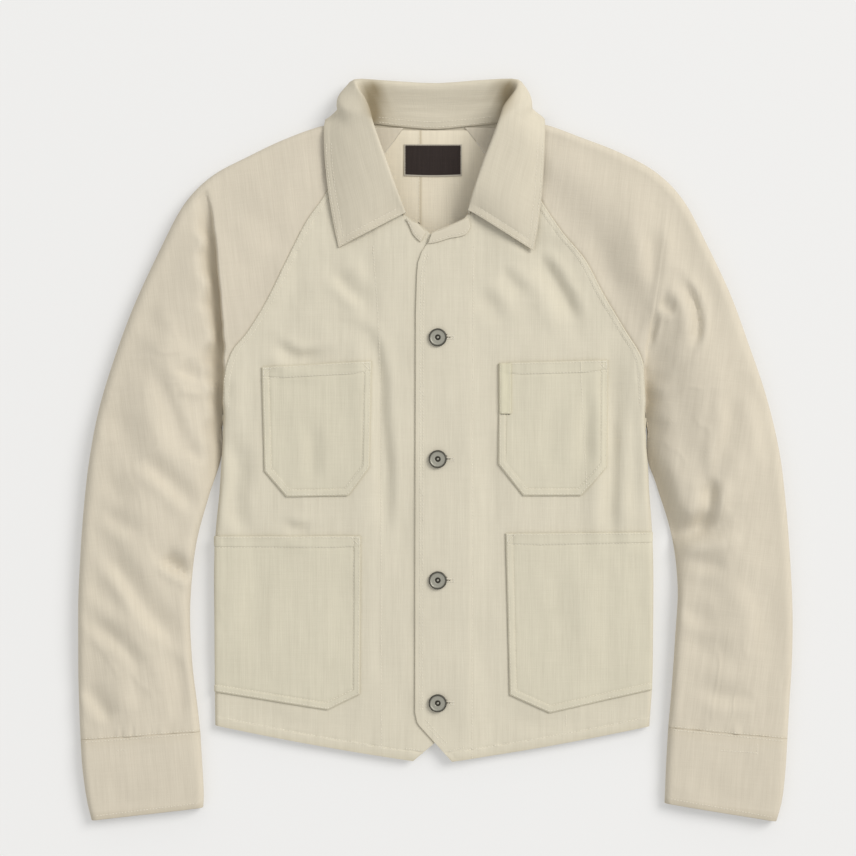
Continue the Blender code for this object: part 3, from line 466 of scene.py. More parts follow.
def frontTop(x, y, side):  # outer face of a front, with the roll at its side
    x = np.asarray(x, float)
    y = np.asarray(y, float)
    radius = 0.5 * bodyValue("edgeHeight", y)
    inside = side * (foldX(side, y) - x)
    flat = bodyTop(x, y) + lapStep(x, side)
    drop = radius - np.maximum(inside, 0.0)
    rolled = radius + np.sqrt(np.maximum(radius * radius - drop * drop, 0.0))
    return np.where((inside >= radius) | (y > body["underarmClosed"]), flat, rolled)


def frontHem(x):
    centre, slope, curve = body["hem"]
    away = np.abs(x + 1.0)
    return centre + slope * away + curve * away * away


def backHem(x):
    return body["backHem"][0] + body["backHem"][1] * np.abs(x)


def collarLift(x, y):
    return 2.2 * smooth(240.0, 306.0, y) * (1.0 - smooth(100.0, 130.0, np.abs(x)))


def frontEdgeX(side, y):
    rows = frontEdge[side]
    return np.interp(y, [row[0] for row in rows], [row[1] for row in rows])


def tubeShare(side, y):  # 0 where sleeve and body are one, 1 where each is a tube of its own
    rows = sleeve[side][::-1]
    return np.interp(y, [row[1] for row in rows], [row[8] for row in rows])


def sideSeamX(side, y):
    return foldX(side, y) - side * (0.5 * bodyValue("edgeHeight", y) + body["sideWrap"])


def tableAt(table, side, name, at):
    column = [row[table["names"].index(name)] for row in table[side]]
    return flowing(range(len(column)), column, at)


raglan = {}
for half in (-1, 1):
    steps = np.linspace(0.0, 10.0, 401)
    tubeAt = tableAt(sleeve, half, "tube", steps)
    joined = tubeAt < 0.01
    for place in ("seam", "back"):
        lineX = tableAt(sleeve, half, place + "X", steps)[joined][::-1]
        lineY = tableAt(sleeve, half, place + "Y", steps)[joined][::-1]
        raglan[half, place] = (lineY, lineX)


def seamX(side, y, place):
    return np.interp(y, *raglan[side, place])


def rollPoints(centre, radius, direction, steps, topDown=True):  # a half turn, without its first point
    angles = np.linspace(90.0, -90.0, steps + 1)[1:] if topDown else np.linspace(-90.0, 90.0, steps + 1)[1:]
    angles = np.radians(angles)
    return centre + direction * radius * np.cos(angles), radius + radius * np.sin(angles)


def groupSocket(group, name, inOut, kind, value=None):
    socket = group.interface.new_socket(name=name, in_out=inOut, socket_type=kind)
    if value is not None:
        socket.default_value = value


def link(tree, a, b):
    tree.links.new(a, b)


def mathNode(tree, kind, a, b=None, c=None):
    node = tree.nodes.new("ShaderNodeMath")
    node.operation = kind
    for i, value in enumerate((a, b, c)):
        if value is None:
            continue
        if isinstance(value, (int, float)):
            node.inputs[i].default_value = value
        else:
            link(tree, value, node.inputs[i])
    return node.outputs[0]


def stretchedNoise(tree, x, y, sizeX, sizeY, detail, shift):
    pair = tree.nodes.new("ShaderNodeCombineXYZ")
    link(tree, mathNode(tree, "DIVIDE", x, sizeX), pair.inputs[0])
    link(tree, mathNode(tree, "DIVIDE", y, sizeY), pair.inputs[1])
    pair.inputs[2].default_value = shift
    noise = tree.nodes.new("ShaderNodeTexNoise")
    noise.inputs["Scale"].default_value = 1.0
    noise.inputs["Detail"].default_value = detail
    link(tree, pair.outputs[0], noise.inputs["Vector"])
    return mathNode(tree, "SUBTRACT", noise.outputs["Fac"], 0.5)


def buildSlubWeave():  # uneven yarns of a plain weave, along v and across u, in metres
    group = bpy.data.node_groups.new("slubWeave", "ShaderNodeTree")
    groupSocket(group, "Vector", "INPUT", "NodeSocketVector")
    groupSocket(group, "Yarn", "INPUT", "NodeSocketFloat", 0.0009)
    groupSocket(group, "Slub", "INPUT", "NodeSocketFloat", 1.0)
    groupSocket(group, "Mottle", "INPUT", "NodeSocketFloat", 1.0)
    groupSocket(group, "Tint", "OUTPUT", "NodeSocketFloat")
    groupSocket(group, "Height", "OUTPUT", "NodeSocketFloat")
    given = group.nodes.new("NodeGroupInput")
    out = group.nodes.new("NodeGroupOutput")
    parts = group.nodes.new("ShaderNodeSeparateXYZ")
    link(group, given.outputs["Vector"], parts.inputs[0])
    u, v = parts.outputs[0], parts.outputs[1]
    longSlub = stretchedNoise(group, u, v, 0.0013, 0.034, 2.0, 0.0)
    wideSlub = stretchedNoise(group, u, v, 0.0042, 0.12, 1.0, 3.1)
    weftSlub = stretchedNoise(group, u, v, 0.026, 0.0013, 1.0, 7.7)
    mottle = stretchedNoise(group, u, v, 0.018, 0.03, 3.0, 11.3)
    tint = mathNode(group, "MULTIPLY", longSlub, 1.25)
    tint = mathNode(group, "ADD", tint, mathNode(group, "MULTIPLY", wideSlub, 0.9))
    tint = mathNode(group, "ADD", tint, mathNode(group, "MULTIPLY", weftSlub, 0.45))
    tint = mathNode(group, "MULTIPLY", tint, given.outputs["Slub"])
    spots = mathNode(group, "MULTIPLY", mottle, given.outputs["Mottle"])
    tint = mathNode(group, "ADD", tint, mathNode(group, "MULTIPLY", spots, 0.5))
    turn = 2.0 * math.pi
    acrossWave = mathNode(group, "SINE", mathNode(group, "MULTIPLY", mathNode(group, "DIVIDE", u, given.outputs["Yarn"]), turn))
    alongWave = mathNode(group, "SINE", mathNode(group, "MULTIPLY", mathNode(group, "DIVIDE", v, given.outputs["Yarn"]), turn))
    weave = mathNode(group, "MULTIPLY", acrossWave, alongWave)
    height = mathNode(group, "MULTIPLY", weave, 0.08)
    height = mathNode(group, "ADD", height, mathNode(group, "MULTIPLY", longSlub, 1.1))
    height = mathNode(group, "ADD", height, mathNode(group, "MULTIPLY", weftSlub, 0.7))
    height = mathNode(group, "ADD", height, mathNode(group, "MULTIPLY", wideSlub, 0.4))
    link(group, tint, out.inputs["Tint"])
    link(group, height, out.inputs["Height"])
    return group


def buildWearAndShadeTint():  # moves the base towards the Shade colour where a piece's mask is high: worn seams, hems and edges, painted shade in deep creases and corners, and the label's border
    group = bpy.data.node_groups.new("wearAndShadeTint", "ShaderNodeTree")
    groupSocket(group, "Color", "INPUT", "NodeSocketColor", (0.8, 0.8, 0.8, 1.0))
    groupSocket(group, "Shade", "INPUT", "NodeSocketColor", (0.3, 0.3, 0.3, 1.0))
    groupSocket(group, "Mask", "INPUT", "NodeSocketFloat", 0.0)
    groupSocket(group, "Amount", "INPUT", "NodeSocketFloat", 0.5)
    groupSocket(group, "Color", "OUTPUT", "NodeSocketColor")
    given = group.nodes.new("NodeGroupInput")
    out = group.nodes.new("NodeGroupOutput")
    share = mathNode(group, "MULTIPLY", given.outputs["Mask"], given.outputs["Amount"])
    clamp = group.nodes.new("ShaderNodeClamp")
    link(group, share, clamp.inputs[0])
    mix = group.nodes.new("ShaderNodeMix")
    mix.data_type = "RGBA"
    link(group, clamp.outputs[0], mix.inputs["Factor"])
    link(group, given.outputs["Color"], mix.inputs["A"])
    link(group, given.outputs["Shade"], mix.inputs["B"])
    link(group, mix.outputs["Result"], out.inputs["Color"])
    return group


slubWeave = buildSlubWeave()
wearAndShadeTint = buildWearAndShadeTint()


def newMaterial(name, roughness, metallic=0.0, specular=0.5):
    material = bpy.data.materials.new(name)
    material.use_nodes = True
    shader = material.node_tree.nodes["Principled BSDF"]
    shader.inputs["Roughness"].default_value = roughness
    shader.inputs["Metallic"].default_value = metallic
    shader.inputs["Specular IOR Level"].default_value = specular
    return material, material.node_tree, shader


def groupNode(tree, group, **values):
    node = tree.nodes.new("ShaderNodeGroup")
    node.node_tree = group
    for name, value in values.items():
        node.inputs[name].default_value = value
    return node


def clothMaterial(name, colour, tint=0.055, bump=0.22, yarn=0.0009, slub=1.0, mottle=1.0, sheen=0.025, shade=0.5, worn=None):
    material, tree, shader = newMaterial(name, 0.92, specular=0.18)
    shader.inputs["Sheen Weight"].default_value = sheen
    shader.inputs["Sheen Roughness"].default_value = 0.45
    uv = tree.nodes.new("ShaderNodeUVMap")
    uv.uv_map = "grain"
    weave = groupNode(tree, slubWeave, Yarn=yarn, Slub=slub, Mottle=mottle)
    link(tree, uv.outputs[0], weave.inputs["Vector"])
    dark = tuple(c * (1.0 - tint * w) for c, w in zip(colour, (1.0, 1.05, 1.2)))
    light = tuple(min(c * (1.0 + tint * w), 1.0) for c, w in zip(colour, (1.0, 1.0, 0.95)))
    blend = tree.nodes.new("ShaderNodeMix")
    blend.data_type = "RGBA"
    blend.inputs["A"].default_value = (*dark, 1.0)
    blend.inputs["B"].default_value = (*light, 1.0)
    middle = mathNode(tree, "ADD", weave.outputs["Tint"], 0.5)
    link(tree, middle, blend.inputs["Factor"])
    edge = groupNode(tree, wearAndShadeTint, Amount=shade)
    # The Shade colour tints worn seams, hems and edges, and also paints shade where a piece's mask marks deep creases
    # and corners.
    edge.inputs["Shade"].default_value = (*(worn or [c * w for c, w in zip(colour, (0.72, 0.68, 0.6))]), 1.0)
    mask = tree.nodes.new("ShaderNodeAttribute")
    mask.attribute_name = "wearAndPaintedShade"
    link(tree, blend.outputs["Result"], edge.inputs["Color"])
    link(tree, mask.outputs["Fac"], edge.inputs["Mask"])
    link(tree, edge.outputs["Color"], shader.inputs["Base Color"])
    bumpNode = tree.nodes.new("ShaderNodeBump")
    bumpNode.inputs["Strength"].default_value = bump
    bumpNode.inputs["Distance"].default_value = 0.0006
    link(tree, weave.outputs["Height"], bumpNode.inputs["Height"])
    link(tree, bumpNode.outputs[0], shader.inputs["Normal"])
    return material


shades = {
    "front": (0.640, 0.594, 0.477),
    "sleeve": (0.623, 0.565, 0.457),
    # Painted light: the back is the same cloth as the fronts, made lighter so that the shaded inside of the neck reads
    # brighter.
    "back": (0.74, 0.672, 0.535),
    "collar": (0.625, 0.573, 0.458),
    "pocket": (0.626, 0.585, 0.462),
    "tab": (0.64, 0.603, 0.455),
    "thread": (0.80, 0.755, 0.64),
    "darkThread": (0.115, 0.095, 0.072),
    "label": (0.030, 0.022, 0.020),
    "border": (0.46, 0.42, 0.35),
    "metal": (0.37, 0.36, 0.30),
    "patina": (0.030, 0.026, 0.018),
}
frontCloth = clothMaterial("frontSlubCloth", shades["front"])
sleeveCloth = clothMaterial("sleeveSlubCloth", shades["sleeve"])
brightenedBackCloth = clothMaterial("brightenedBackSlubCloth", shades["back"])
# The collar's Shade colour is darker than the other cloths', because its mask also paints shade into the inner corners
# of the stand.
collarCloth = clothMaterial("collarSlubCloth", shades["collar"], worn=[c * w for c, w in zip(shades["collar"], (0.50, 0.45, 0.36))])
pocketCloth = clothMaterial("pocketSlubCloth", shades["pocket"])
tabCloth = clothMaterial("tabSlubCloth", shades["tab"])
threadCotton = clothMaterial("sewingThread", shades["thread"], tint=0.05, bump=0.2, yarn=0.0005, sheen=0.2)
darkCotton = clothMaterial("darkThread", shades["darkThread"], tint=0.1, bump=0.2, yarn=0.0005)
labelCloth = clothMaterial(
    "labelWeave", shades["label"], tint=0.25, bump=0.35, yarn=0.0006, slub=0.6, sheen=0.25, shade=1.0, worn=shades["border"]
)


def buildPatina():  # tarnish in the hollows, and mottled over the open metal
    group = bpy.data.node_groups.new("patina", "ShaderNodeTree")
    groupSocket(group, "Metal", "INPUT", "NodeSocketColor", (0.5, 0.5, 0.5, 1.0))
    groupSocket(group, "Tarnish", "INPUT", "NodeSocketColor", (0.05, 0.05, 0.05, 1.0))
    groupSocket(group, "Mask", "INPUT", "NodeSocketFloat", 0.0)
    groupSocket(group, "Color", "OUTPUT", "NodeSocketColor")
    groupSocket(group, "Roughness", "OUTPUT", "NodeSocketFloat")
    groupSocket(group, "Height", "OUTPUT", "NodeSocketFloat")
    given = group.nodes.new("NodeGroupInput")
    out = group.nodes.new("NodeGroupOutput")
    place = group.nodes.new("ShaderNodeTexCoord")
    parts = group.nodes.new("ShaderNodeSeparateXYZ")
    link(group, place.outputs["Object"], parts.inputs[0])
    spots = stretchedNoise(group, parts.outputs[0], parts.outputs[1], 0.0011, 0.0011, 4.0, 2.0)
    brushed = stretchedNoise(group, parts.outputs[0], parts.outputs[1], 0.004, 0.0002, 1.0, 5.0)
    share = mathNode(group, "ADD", given.outputs["Mask"], mathNode(group, "MULTIPLY", spots, 0.5))
    clamp = group.nodes.new("ShaderNodeClamp")
    link(group, share, clamp.inputs[0])
    mix = group.nodes.new("ShaderNodeMix")
    mix.data_type = "RGBA"
    link(group, clamp.outputs[0], mix.inputs["Factor"])
    link(group, given.outputs["Metal"], mix.inputs["A"])
    link(group, given.outputs["Tarnish"], mix.inputs["B"])
    rough = mathNode(group, "ADD", mathNode(group, "MULTIPLY", spots, 0.3), 0.46)
    link(group, mix.outputs["Result"], out.inputs["Color"])
    link(group, rough, out.inputs["Roughness"])
    link(group, mathNode(group, "ADD", spots, mathNode(group, "MULTIPLY", brushed, 0.3)), out.inputs["Height"])
    return group


patina = buildPatina()
buttonMetal, metalTree, metalShader = newMaterial("agedButtonMetal", 0.46, metallic=0.55)
worn = groupNode(metalTree, patina)
worn.inputs["Metal"].default_value = (*shades["metal"], 1.0)
worn.inputs["Tarnish"].default_value = (*shades["patina"], 1.0)
metalMask = metalTree.nodes.new("ShaderNodeAttribute")
metalMask.attribute_name = "wearAndPaintedShade"
link(metalTree, metalMask.outputs["Fac"], worn.inputs["Mask"])
link(metalTree, worn.outputs["Color"], metalShader.inputs["Base Color"])
link(metalTree, worn.outputs["Roughness"], metalShader.inputs["Roughness"])
metalBump = metalTree.nodes.new("ShaderNodeBump")
metalBump.inputs["Strength"].default_value = 0.15
metalBump.inputs["Distance"].default_value = 0.0002
link(metalTree, worn.outputs["Height"], metalBump.inputs["Height"])
link(metalTree, metalBump.outputs[0], metalShader.inputs["Normal"])
print("cloth materials are made")


madeSheets = {}


def arcLengths(points):
    steps = np.linalg.norm(np.diff(points, axis=0), axis=1)
    return np.concatenate([[0.0], np.cumsum(steps)])


def grainOf(grid, ring):  # u across and v along, as arc lengths in metres
    rows, columns, _ = grid.shape
    closed = np.concatenate([grid, grid[:, :1]], axis=1) if ring else grid
    u = np.array([arcLengths(row) for row in closed])
    middle = arcLengths(grid[:, columns // 2])
    v = np.repeat(middle[:, None], closed.shape[1], axis=1)
    return np.stack([u, v], axis=-1) * mm


def makeSheet(name, grid, wall, material, ring=False, flip=False, offset=-1.0, edgeRound=0.4, grain=None, wearAndPaintedShade=None):
    grid = np.asarray(grid, float)
    rows, columns, _ = grid.shape
    last = columns if ring else columns - 1
    i, j = np.meshgrid(np.arange(rows - 1), np.arange(last), indexing="ij")
    i, j = i.ravel(), j.ravel()
    k = (j + 1) % columns
    corners = [(i, j, j), (i, k, j + 1), (i + 1, k, j + 1), (i + 1, j, j)]
    if flip:
        corners = corners[::-1]
    faces = np.stack([a * columns + b for a, b, _ in corners], axis=1)
    mesh = bpy.data.meshes.new(name)
    mesh.from_pydata((grid.reshape(-1, 3) * mm).tolist(), [], faces.tolist())
    grain = grainOf(grid, ring) if grain is None else grain
    loops = np.stack([grain[a, c] for a, _, c in corners], axis=1).reshape(-1)
    mesh.uv_layers.new(name="grain").data.foreach_set("uv", loops)
    mask = mesh.attributes.new("wearAndPaintedShade", "FLOAT", "POINT")
    mask.data.foreach_set("value", np.zeros(rows * columns) if wearAndPaintedShade is None else np.asarray(wearAndPaintedShade, float).ravel())
    mesh.shade_smooth()
    mesh.materials.append(material)
    obj = bpy.data.objects.new(name, mesh)
    scene.collection.objects.link(obj)
    thick = obj.modifiers.new("cloth", "SOLIDIFY")
    thick.thickness = wall * mm
    thick.offset = offset
    if edgeRound:
        soft = obj.modifiers.new("softEdge", "BEVEL")
        soft.width = edgeRound * mm
        soft.segments = 2
        soft.limit_method = "ANGLE"
        soft.angle_limit = math.radians(60)
    madeSheets[name] = obj
    return obj


def bandWear(distance, width=3.0):  # a mask that is high at a seam and fades away from it
    return np.exp(-((np.asarray(distance, float) / width) ** 2))


front = {
    "cell": 3.1,
    "facing": {  # the stitching of the facing, from the neck down: y, x
        1: ((214.0, 38.6), (183.0, 37.6), (60.0, 37.0), (-300.0, 36.6)),
        -1: ((206.0, -62.6), (138.0, -57.4), (62.0, -54.6), (-300.0, -54.0)),
    },
    "hemDepth": 9.5,
    "hemFold": 0.45,  # how much the turned layers stand up
    "edgeStitch": 6.5,
    "raglanStitch": (1.6, 6.6),
}


def frontEndX(side, y):  # where a front's turned-under side ends
    share = float(tubeShare(side, y))
    end = float(seamX(side, y, "seam")) - side * 0.5 * body["seamGap"]
    sewn = float(sideSeamX(side, y)) + side * 0.5 * body["seamGap"]
    return end + (sewn - end) * share + side * 2.4 * 4.0 * share * (1.0 - share)


def frontRowAt(side, level, fan, across, rollSteps):
    def yAt(x):
        return body["fanTop"] + fan * (frontHem(x) - body["fanTop"]) if fan else level + 0.0 * x

    start = float(frontEdgeX(side, yAt(0.0)))
    for _ in range(6):
        start = float(frontEdgeX(side, yAt(start)))
    ySide = float(yAt(side * body["sideX"]))
    share = float(tubeShare(side, ySide))
    fold = float(foldX(side, ySide))
    radius = 0.5 * float(bodyValue("edgeHeight", ySide))
    sewn = float(sideSeamX(side, ySide)) + side * 0.5 * body["seamGap"]
    closedTop = fold - side * radius
    rollX, rollZ = rollPoints(closedTop, radius, side, rollSteps)
    closedX = np.concatenate([start + (closedTop - start) * across, rollX, [sewn]])
    end = float(seamX(side, ySide, "seam")) - side * 0.5 * body["seamGap"]
    openTop = end - side * body["seamStrip"]
    strip = np.linspace(openTop, end, rollSteps + 2)[1:]
    openX = np.concatenate([start + (openTop - start) * across, strip])
    x = openX + (closedX - openX) * share
    x += side * 2.4 * 4.0 * share * (1.0 - share) * smooth(0.85, 1.0, (x - start) / (openTop - start))
    y = yAt(x)
    top = bodyTop(x, y) + lapStep(x, side)
    z = top.copy()
    n = len(across)
    z[n:] = top[n:] + (np.concatenate([rollZ, [0.0]]) - top[n:]) * share
    return np.stack([x, y, z], axis=1), top


def facingX(side, y):
    line = front["facing"][side][::-1]
    return np.interp(y, [row[0] for row in line], [row[1] for row in line])


def topWeight(z, top):
    return smooth(0.3, 0.95, z / np.maximum(top, 1e-6))


def buildFront(side):
    name = "frontLeft" if side > 0 else "frontRight"
    wide = 228.0
    across = spread(wide, front["cell"], (0.5, front["edgeStitch"], 56.5 if side > 0 else 79.0)) / wide
    fall = 234.0
    fans = spread(fall, front["cell"], (front["hemDepth"], 0.6))
    fans = (1.0 - fans / fall)[:-1]
    levels = np.concatenate([np.arange(body["fanTop"] + 0.02, 186.0, front["cell"]), np.arange(186.0, 242.0, 1.4), np.arange(242.0, 314.1, 2.9)])
    rows = [frontRowAt(side, None, fan, across, 12) for fan in fans]
    rows += [frontRowAt(side, level, 0.0, across, 12) for level in levels]
    grid = np.array([row for row, _ in rows])
    top = np.array([t for _, t in rows])
    x, y, z = grid[..., 0], grid[..., 1], grid[..., 2]
    weight = topWeight(z, top)
    fromHem = y - frontHem(x)
    fromEdge = side * (x - frontEdgeX(side, y))
    fromSeam = np.abs(seamX(side, y, "seam") - x)
    lift = creaseField(x, y) * (0.35 + 0.65 * smooth(0.0, 30.0, fromHem))
    ripple = softNoise(x, y, 4.6, 6.0, 21) * 0.24
    hemBand = smooth(front["hemDepth"] + 0.9, front["hemDepth"] - 0.9, fromHem)
    lift += front["hemFold"] * hemBand
    lift -= 0.35 * np.exp(-(((fromHem - front["hemDepth"]) / 0.9) ** 2)) * (1.0 + 2.0 * softNoise(x, y, 3.0, 6.0, 22))
    lift += ripple * np.exp(-(((fromHem - 5.0) / 6.0) ** 2))
    pastFacing = side * (x - facingX(side, y))
    lift += 0.36 * (1.0 - smooth(-1.2, 1.2, pastFacing))
    lift -= 0.26 * np.exp(-((pastFacing / 1.1) ** 2))
    lift += ripple * np.exp(-(((fromEdge - front["edgeStitch"]) / 5.0) ** 2))
    aboveArm = smooth(30.0, 60.0, y)
    raglanBand = 1.0 - smooth(5.4, 6.9, fromSeam)
    lift += 0.5 * raglanBand * aboveArm * smooth(0.0, 1.2, fromSeam)
    lift += ripple * 1.6 * np.exp(-(((fromSeam - 6.5) / 4.5) ** 2)) * aboveArm
    grid[..., 2] = z + lift * weight
    wearAndPaintedShade = 0.55 * bandWear(fromHem, 4.0) + 0.5 * bandWear(fromSeam, 1.6) * aboveArm + 0.35 * bandWear(fromEdge, 1.6)
    grain = np.stack([x, y], axis=-1) * mm
    return makeSheet(name, grid, body["cloth"], frontCloth, flip=side < 0, grain=grain, wearAndPaintedShade=wearAndPaintedShade)


for half in (-1, 1):
    buildFront(half)
print("fronts are laid")


def underarmOffset(side, at, seam, outwards, start, end):  # where a section crosses the underarm crease
    table = body["underarm"]
    line = table["xPlus" if side > 0 else "xMinus"]
    offsets = np.linspace(start + 4.0, end - 4.0, 240)
    x = seam[0] + outwards[0] * offsets
    y = seam[1] + outwards[1] * offsets
    crossing = offsets[np.argmin(np.abs(x - flowing(table["y"], line, y)))]
    middle = 0.5 * (start + end)
    return middle + (crossing - middle) * float(smooth(2.6, 4.2, at) * (1.0 - smooth(8.6, 10.6, at)))


def spacedFrom(near, far, count, bend=1.7):  # places from near to far, closest together at near
    t = np.linspace(0.0, 1.0, count + 1)[1:]
    return near + (far - near) * (np.exp(bend * t) - 1.0) / (math.exp(bend) - 1.0)


def sleeveSectionAt(side, at, counts):
    value = {name: float(tableAt(sleeve, side, name, at)) for name in sleeve["names"]}
    seam = np.array((value["seamX"], value["seamY"]))
    edge = np.array((value["edgeX"], value["edgeY"]))
    back = np.array((value["backX"], value["backY"]))
    tube = min(max(value["tube"], 0.0), 1.0)
    wide = float(np.linalg.norm(edge - seam))
    outwards = (edge - seam) / wide
    outer = min(0.5 * value["edgeHeight"], 0.6 * wide)
    inner = 0.5 * value["edgeHeight"]
    strip = min(body["seamStrip"], 0.25 * wide)
    begin = 0.5 * body["seamGap"]
    rollSteps = counts["roll"]
    opened = np.linspace(begin, strip, rollSteps + 2)
    rollX, rollZ = rollPoints(inner, inner, -1.0, rollSteps, topDown=False)
    closed = np.concatenate([[inner + body["sideWrap"], inner], rollX])
    closedZ = np.concatenate([[0.0, 0.0], rollZ])
    offsets = opened + (closed - opened) * tube
    offsets = offsets - 2.0 * 4.0 * tube * (1.0 - tube) * (1.0 - smooth(0.0, 14.0, offsets))
    topStart, topEnd = offsets[-1], wide - outer
    stripAt = seam + outwards * strip
    topLow = float(bodyArch(*stripAt))
    topLow += (2.0 * inner - topLow) * tube
    lift = float(collarLift(*edge))
    topHigh = value["edgeHeight"] + lift

    def topHeight(offset):
        share = np.clip((offset - topStart) / (topEnd - topStart), 0.0, 1.0)
        level = topLow + (topHigh - topLow) * smooth(0.0, 1.0, share)
        swell = value["crown"] - 0.5 * (topLow + topHigh)
        x = seam[0] + outwards[0] * offset
        y = seam[1] + outwards[1] * offset
        return level + swell * np.sin(np.pi * share) ** 2 - underarmCrease(x, y) * (1.0 - tube)

    top1 = topHeight(offsets)
    z1 = top1 * (1.0 - tube) + closedZ * (top1[-1] / (2.0 * inner)) * tube
    weight1 = topWeight(z1, np.maximum(top1, topLow * tube))
    fold = underarmOffset(side, at, seam, outwards, topStart, topEnd)
    toFold = spacedFrom(fold, topStart, counts["top"])[:-1][::-1]
    across = np.concatenate([toFold, [fold], spacedFrom(fold, topEnd, counts["top"])])
    z2 = topHeight(across)
    rollX, rollZ = rollPoints(topEnd, outer, 1.0, rollSteps)
    z3 = lift + rollZ * (topHigh - lift) / (2.0 * outer)
    offset = np.concatenate([offsets, across, rollX])
    z = np.concatenate([z1, z2, z3])
    weight = np.concatenate([weight1, np.ones(len(z2)), topWeight(z3, topHigh)])
    x = seam[0] + outwards[0] * offset
    y = seam[1] + outwards[1] * offset
    under = np.array((x[-1], y[-1]))
    below = seam + outwards * (inner + body["sideWrap"] + body["seamGap"])
    toward = (under - back) / np.linalg.norm(under - back)
    finish = back + toward * 0.5 * body["seamGap"]
    finish = finish + (below - finish) * tube
    shares = np.linspace(0.0, 1.0, counts["under"] + 1)[1:]
    underX = under[0] + (finish[0] - under[0]) * shares
    underY = under[1] + (finish[1] - under[1]) * shares
    x = np.concatenate([x, underX])
    y = np.concatenate([y, underY])
    z = np.concatenate([z, collarLift(underX, underY)])
    weight = np.concatenate([weight, np.zeros(len(shares))])
    fromSeam = np.concatenate([offset, np.full(len(shares), 99.0)])
    return np.stack([x, y, z], axis=1), weight, fromSeam, tube


def buildSleeve(side):
    name = "sleeveLeft" if side > 0 else "sleeveRight"
    counts = {"roll": 12, "top": 38, "under": 14}
    places = np.concatenate([np.arange(0.0, 6.6, 0.066), np.arange(6.6, 8.7, 0.028), np.arange(8.7, 16.0, 0.066), [16.0]])
    nearCuff = [16.0 - d / 30.0 for d in (0.5, 1.0, 1.6, 2.4, 3.2)]
    places = np.array(sorted(list(places) + nearCuff))
    sections = [sleeveSectionAt(side, at, counts) for at in places]
    grid = np.array([s[0] for s in sections])
    weight = np.array([s[1] for s in sections])
    fromSeam = np.array([s[2] for s in sections])
    tube = np.array([s[3] for s in sections])[:, None]
    x, y, z = grid[..., 0], grid[..., 1], grid[..., 2]
    toCuff = np.array([arcLengths(grid[::-1, c])[::-1] for c in range(grid.shape[1])]).T
    lift = creaseField(x, y) * (0.3 + 0.7 * smooth(0.0, 26.0, toCuff))
    ripple = softNoise(x, y, 4.8, 4.8, 31) * 0.26
    seamed = (1.0 - tube) * smooth(30.0, 60.0, y)
    lift += ripple * np.exp(-((fromSeam / 5.0) ** 2)) * seamed
    lift -= 0.3 * np.exp(-((fromSeam / 1.2) ** 2)) * seamed
    gathers = softNoise(x, y, 7.0, 60.0, 33)
    lift += (0.75 * gathers + 0.4 * softNoise(x, y, 3.6, 20.0, 34)) * np.exp(-((toCuff / 11.0) ** 2))
    fall = sleeve["innerFall"]
    fallen = flowing(fall["y"], fall[side], y) * np.exp(-((np.maximum(fromSeam, 0.0) / fall["width"]) ** 2.2))
    grid[..., 2] = np.maximum(z + lift * weight, np.minimum(z, 3.4)) * (1.0 - fallen)
    belowSide = softNoise(x, y, 30.0, 44.0, 35) * 0.25 * (1.0 - weight) * (z < 2.6)
    grid[..., 2] += np.maximum(belowSide, 0.0)
    grid[..., 2] = np.maximum(grid[..., 2], 0.0)
    wearAndPaintedShade = 0.5 * bandWear(fromSeam, 1.6) * seamed + 0.5 * bandWear(toCuff, 1.8)
    # Painted shade: the cloth is darkened in the deep underarm crease and where the inner edge falls away, where shade
    # falls.
    wearAndPaintedShade += (1.3 * (underarmCrease(x, y) / 13.0) ** 2 + 0.8 * fallen) * (weight > 0.5)
    a = math.radians(7.0 * side)
    grain = np.stack([x * math.cos(a) - y * math.sin(a), x * math.sin(a) + y * math.cos(a)], axis=-1) * mm
    return makeSheet(name, grid, sleeve["cloth"], sleeveCloth, flip=side > 0, grain=grain, wearAndPaintedShade=wearAndPaintedShade)


for half in (-1, 1):
    buildSleeve(half)
print("sleeves are laid")


def buildCuff(side):
    name = "cuffLeft" if side > 0 else "cuffRight"
    rings = []
    for at in spread(3.0, 0.12, (0.06, 0.3, 2.9, 2.6)):
        value = {key: float(tableAt(cuff, side, key, at)) for key in cuff["names"]}
        inner = np.array((value["innerX"], value["innerY"]))
        outer = np.array((value["outerX"], value["outerY"]))
        wide = float(np.linalg.norm(outer - inner))
        outwards = (outer - inner) / wide
        height = value["height"]
        radius = 0.5 * height
        flat = wide - height
        topShare = np.linspace(0.0, 1.0, 41)[1:]
        rollX, rollZ = rollPoints(radius + flat, radius, 1.0, 10)
        lowShare = np.linspace(0.0, 1.0, 15)[1:]
        backX, backZ = rollPoints(radius, radius, -1.0, 10, topDown=False)
        offset = np.concatenate([radius + flat * topShare, rollX, radius + flat * (1.0 - lowShare), backX])
        z = np.concatenate([np.full(40, height), rollZ, np.zeros(14), backZ])
        x = inner[0] + outwards[0] * offset
        y = inner[1] + outwards[1] * offset
        weight = topWeight(z, height)
        lift = 0.95 * softNoise(x, y, 26.0, 14.0, 41 + side) + 0.3 * softNoise(x, y, 11.0, 9.0, 44 + side)
        lift += 0.1 * softNoise(x, y, 4.0, 5.0, 47)
        lift += 0.5 * (1.0 - smooth(0.0, 0.35, at)) * softNoise(x, y, 7.0, 60.0, 33) * smooth(0.0, 0.1, at)
        rings.append(np.stack([x, y, z + lift * weight], axis=1))
    grid = np.array(rings)
    along = np.linspace(0.0, 75.0, len(rings))[:, None] + np.zeros(grid.shape[1])
    wearAndPaintedShade = 0.4 * bandWear(along, 1.5) + 0.75 * bandWear(75.0 - along, 2.2)
    return makeSheet(name, grid, cuff["cloth"], sleeveCloth, ring=True, flip=side > 0, edgeRound=0.6, wearAndPaintedShade=wearAndPaintedShade)


for half in (-1, 1):
    buildCuff(half)
print("cuffs are on")


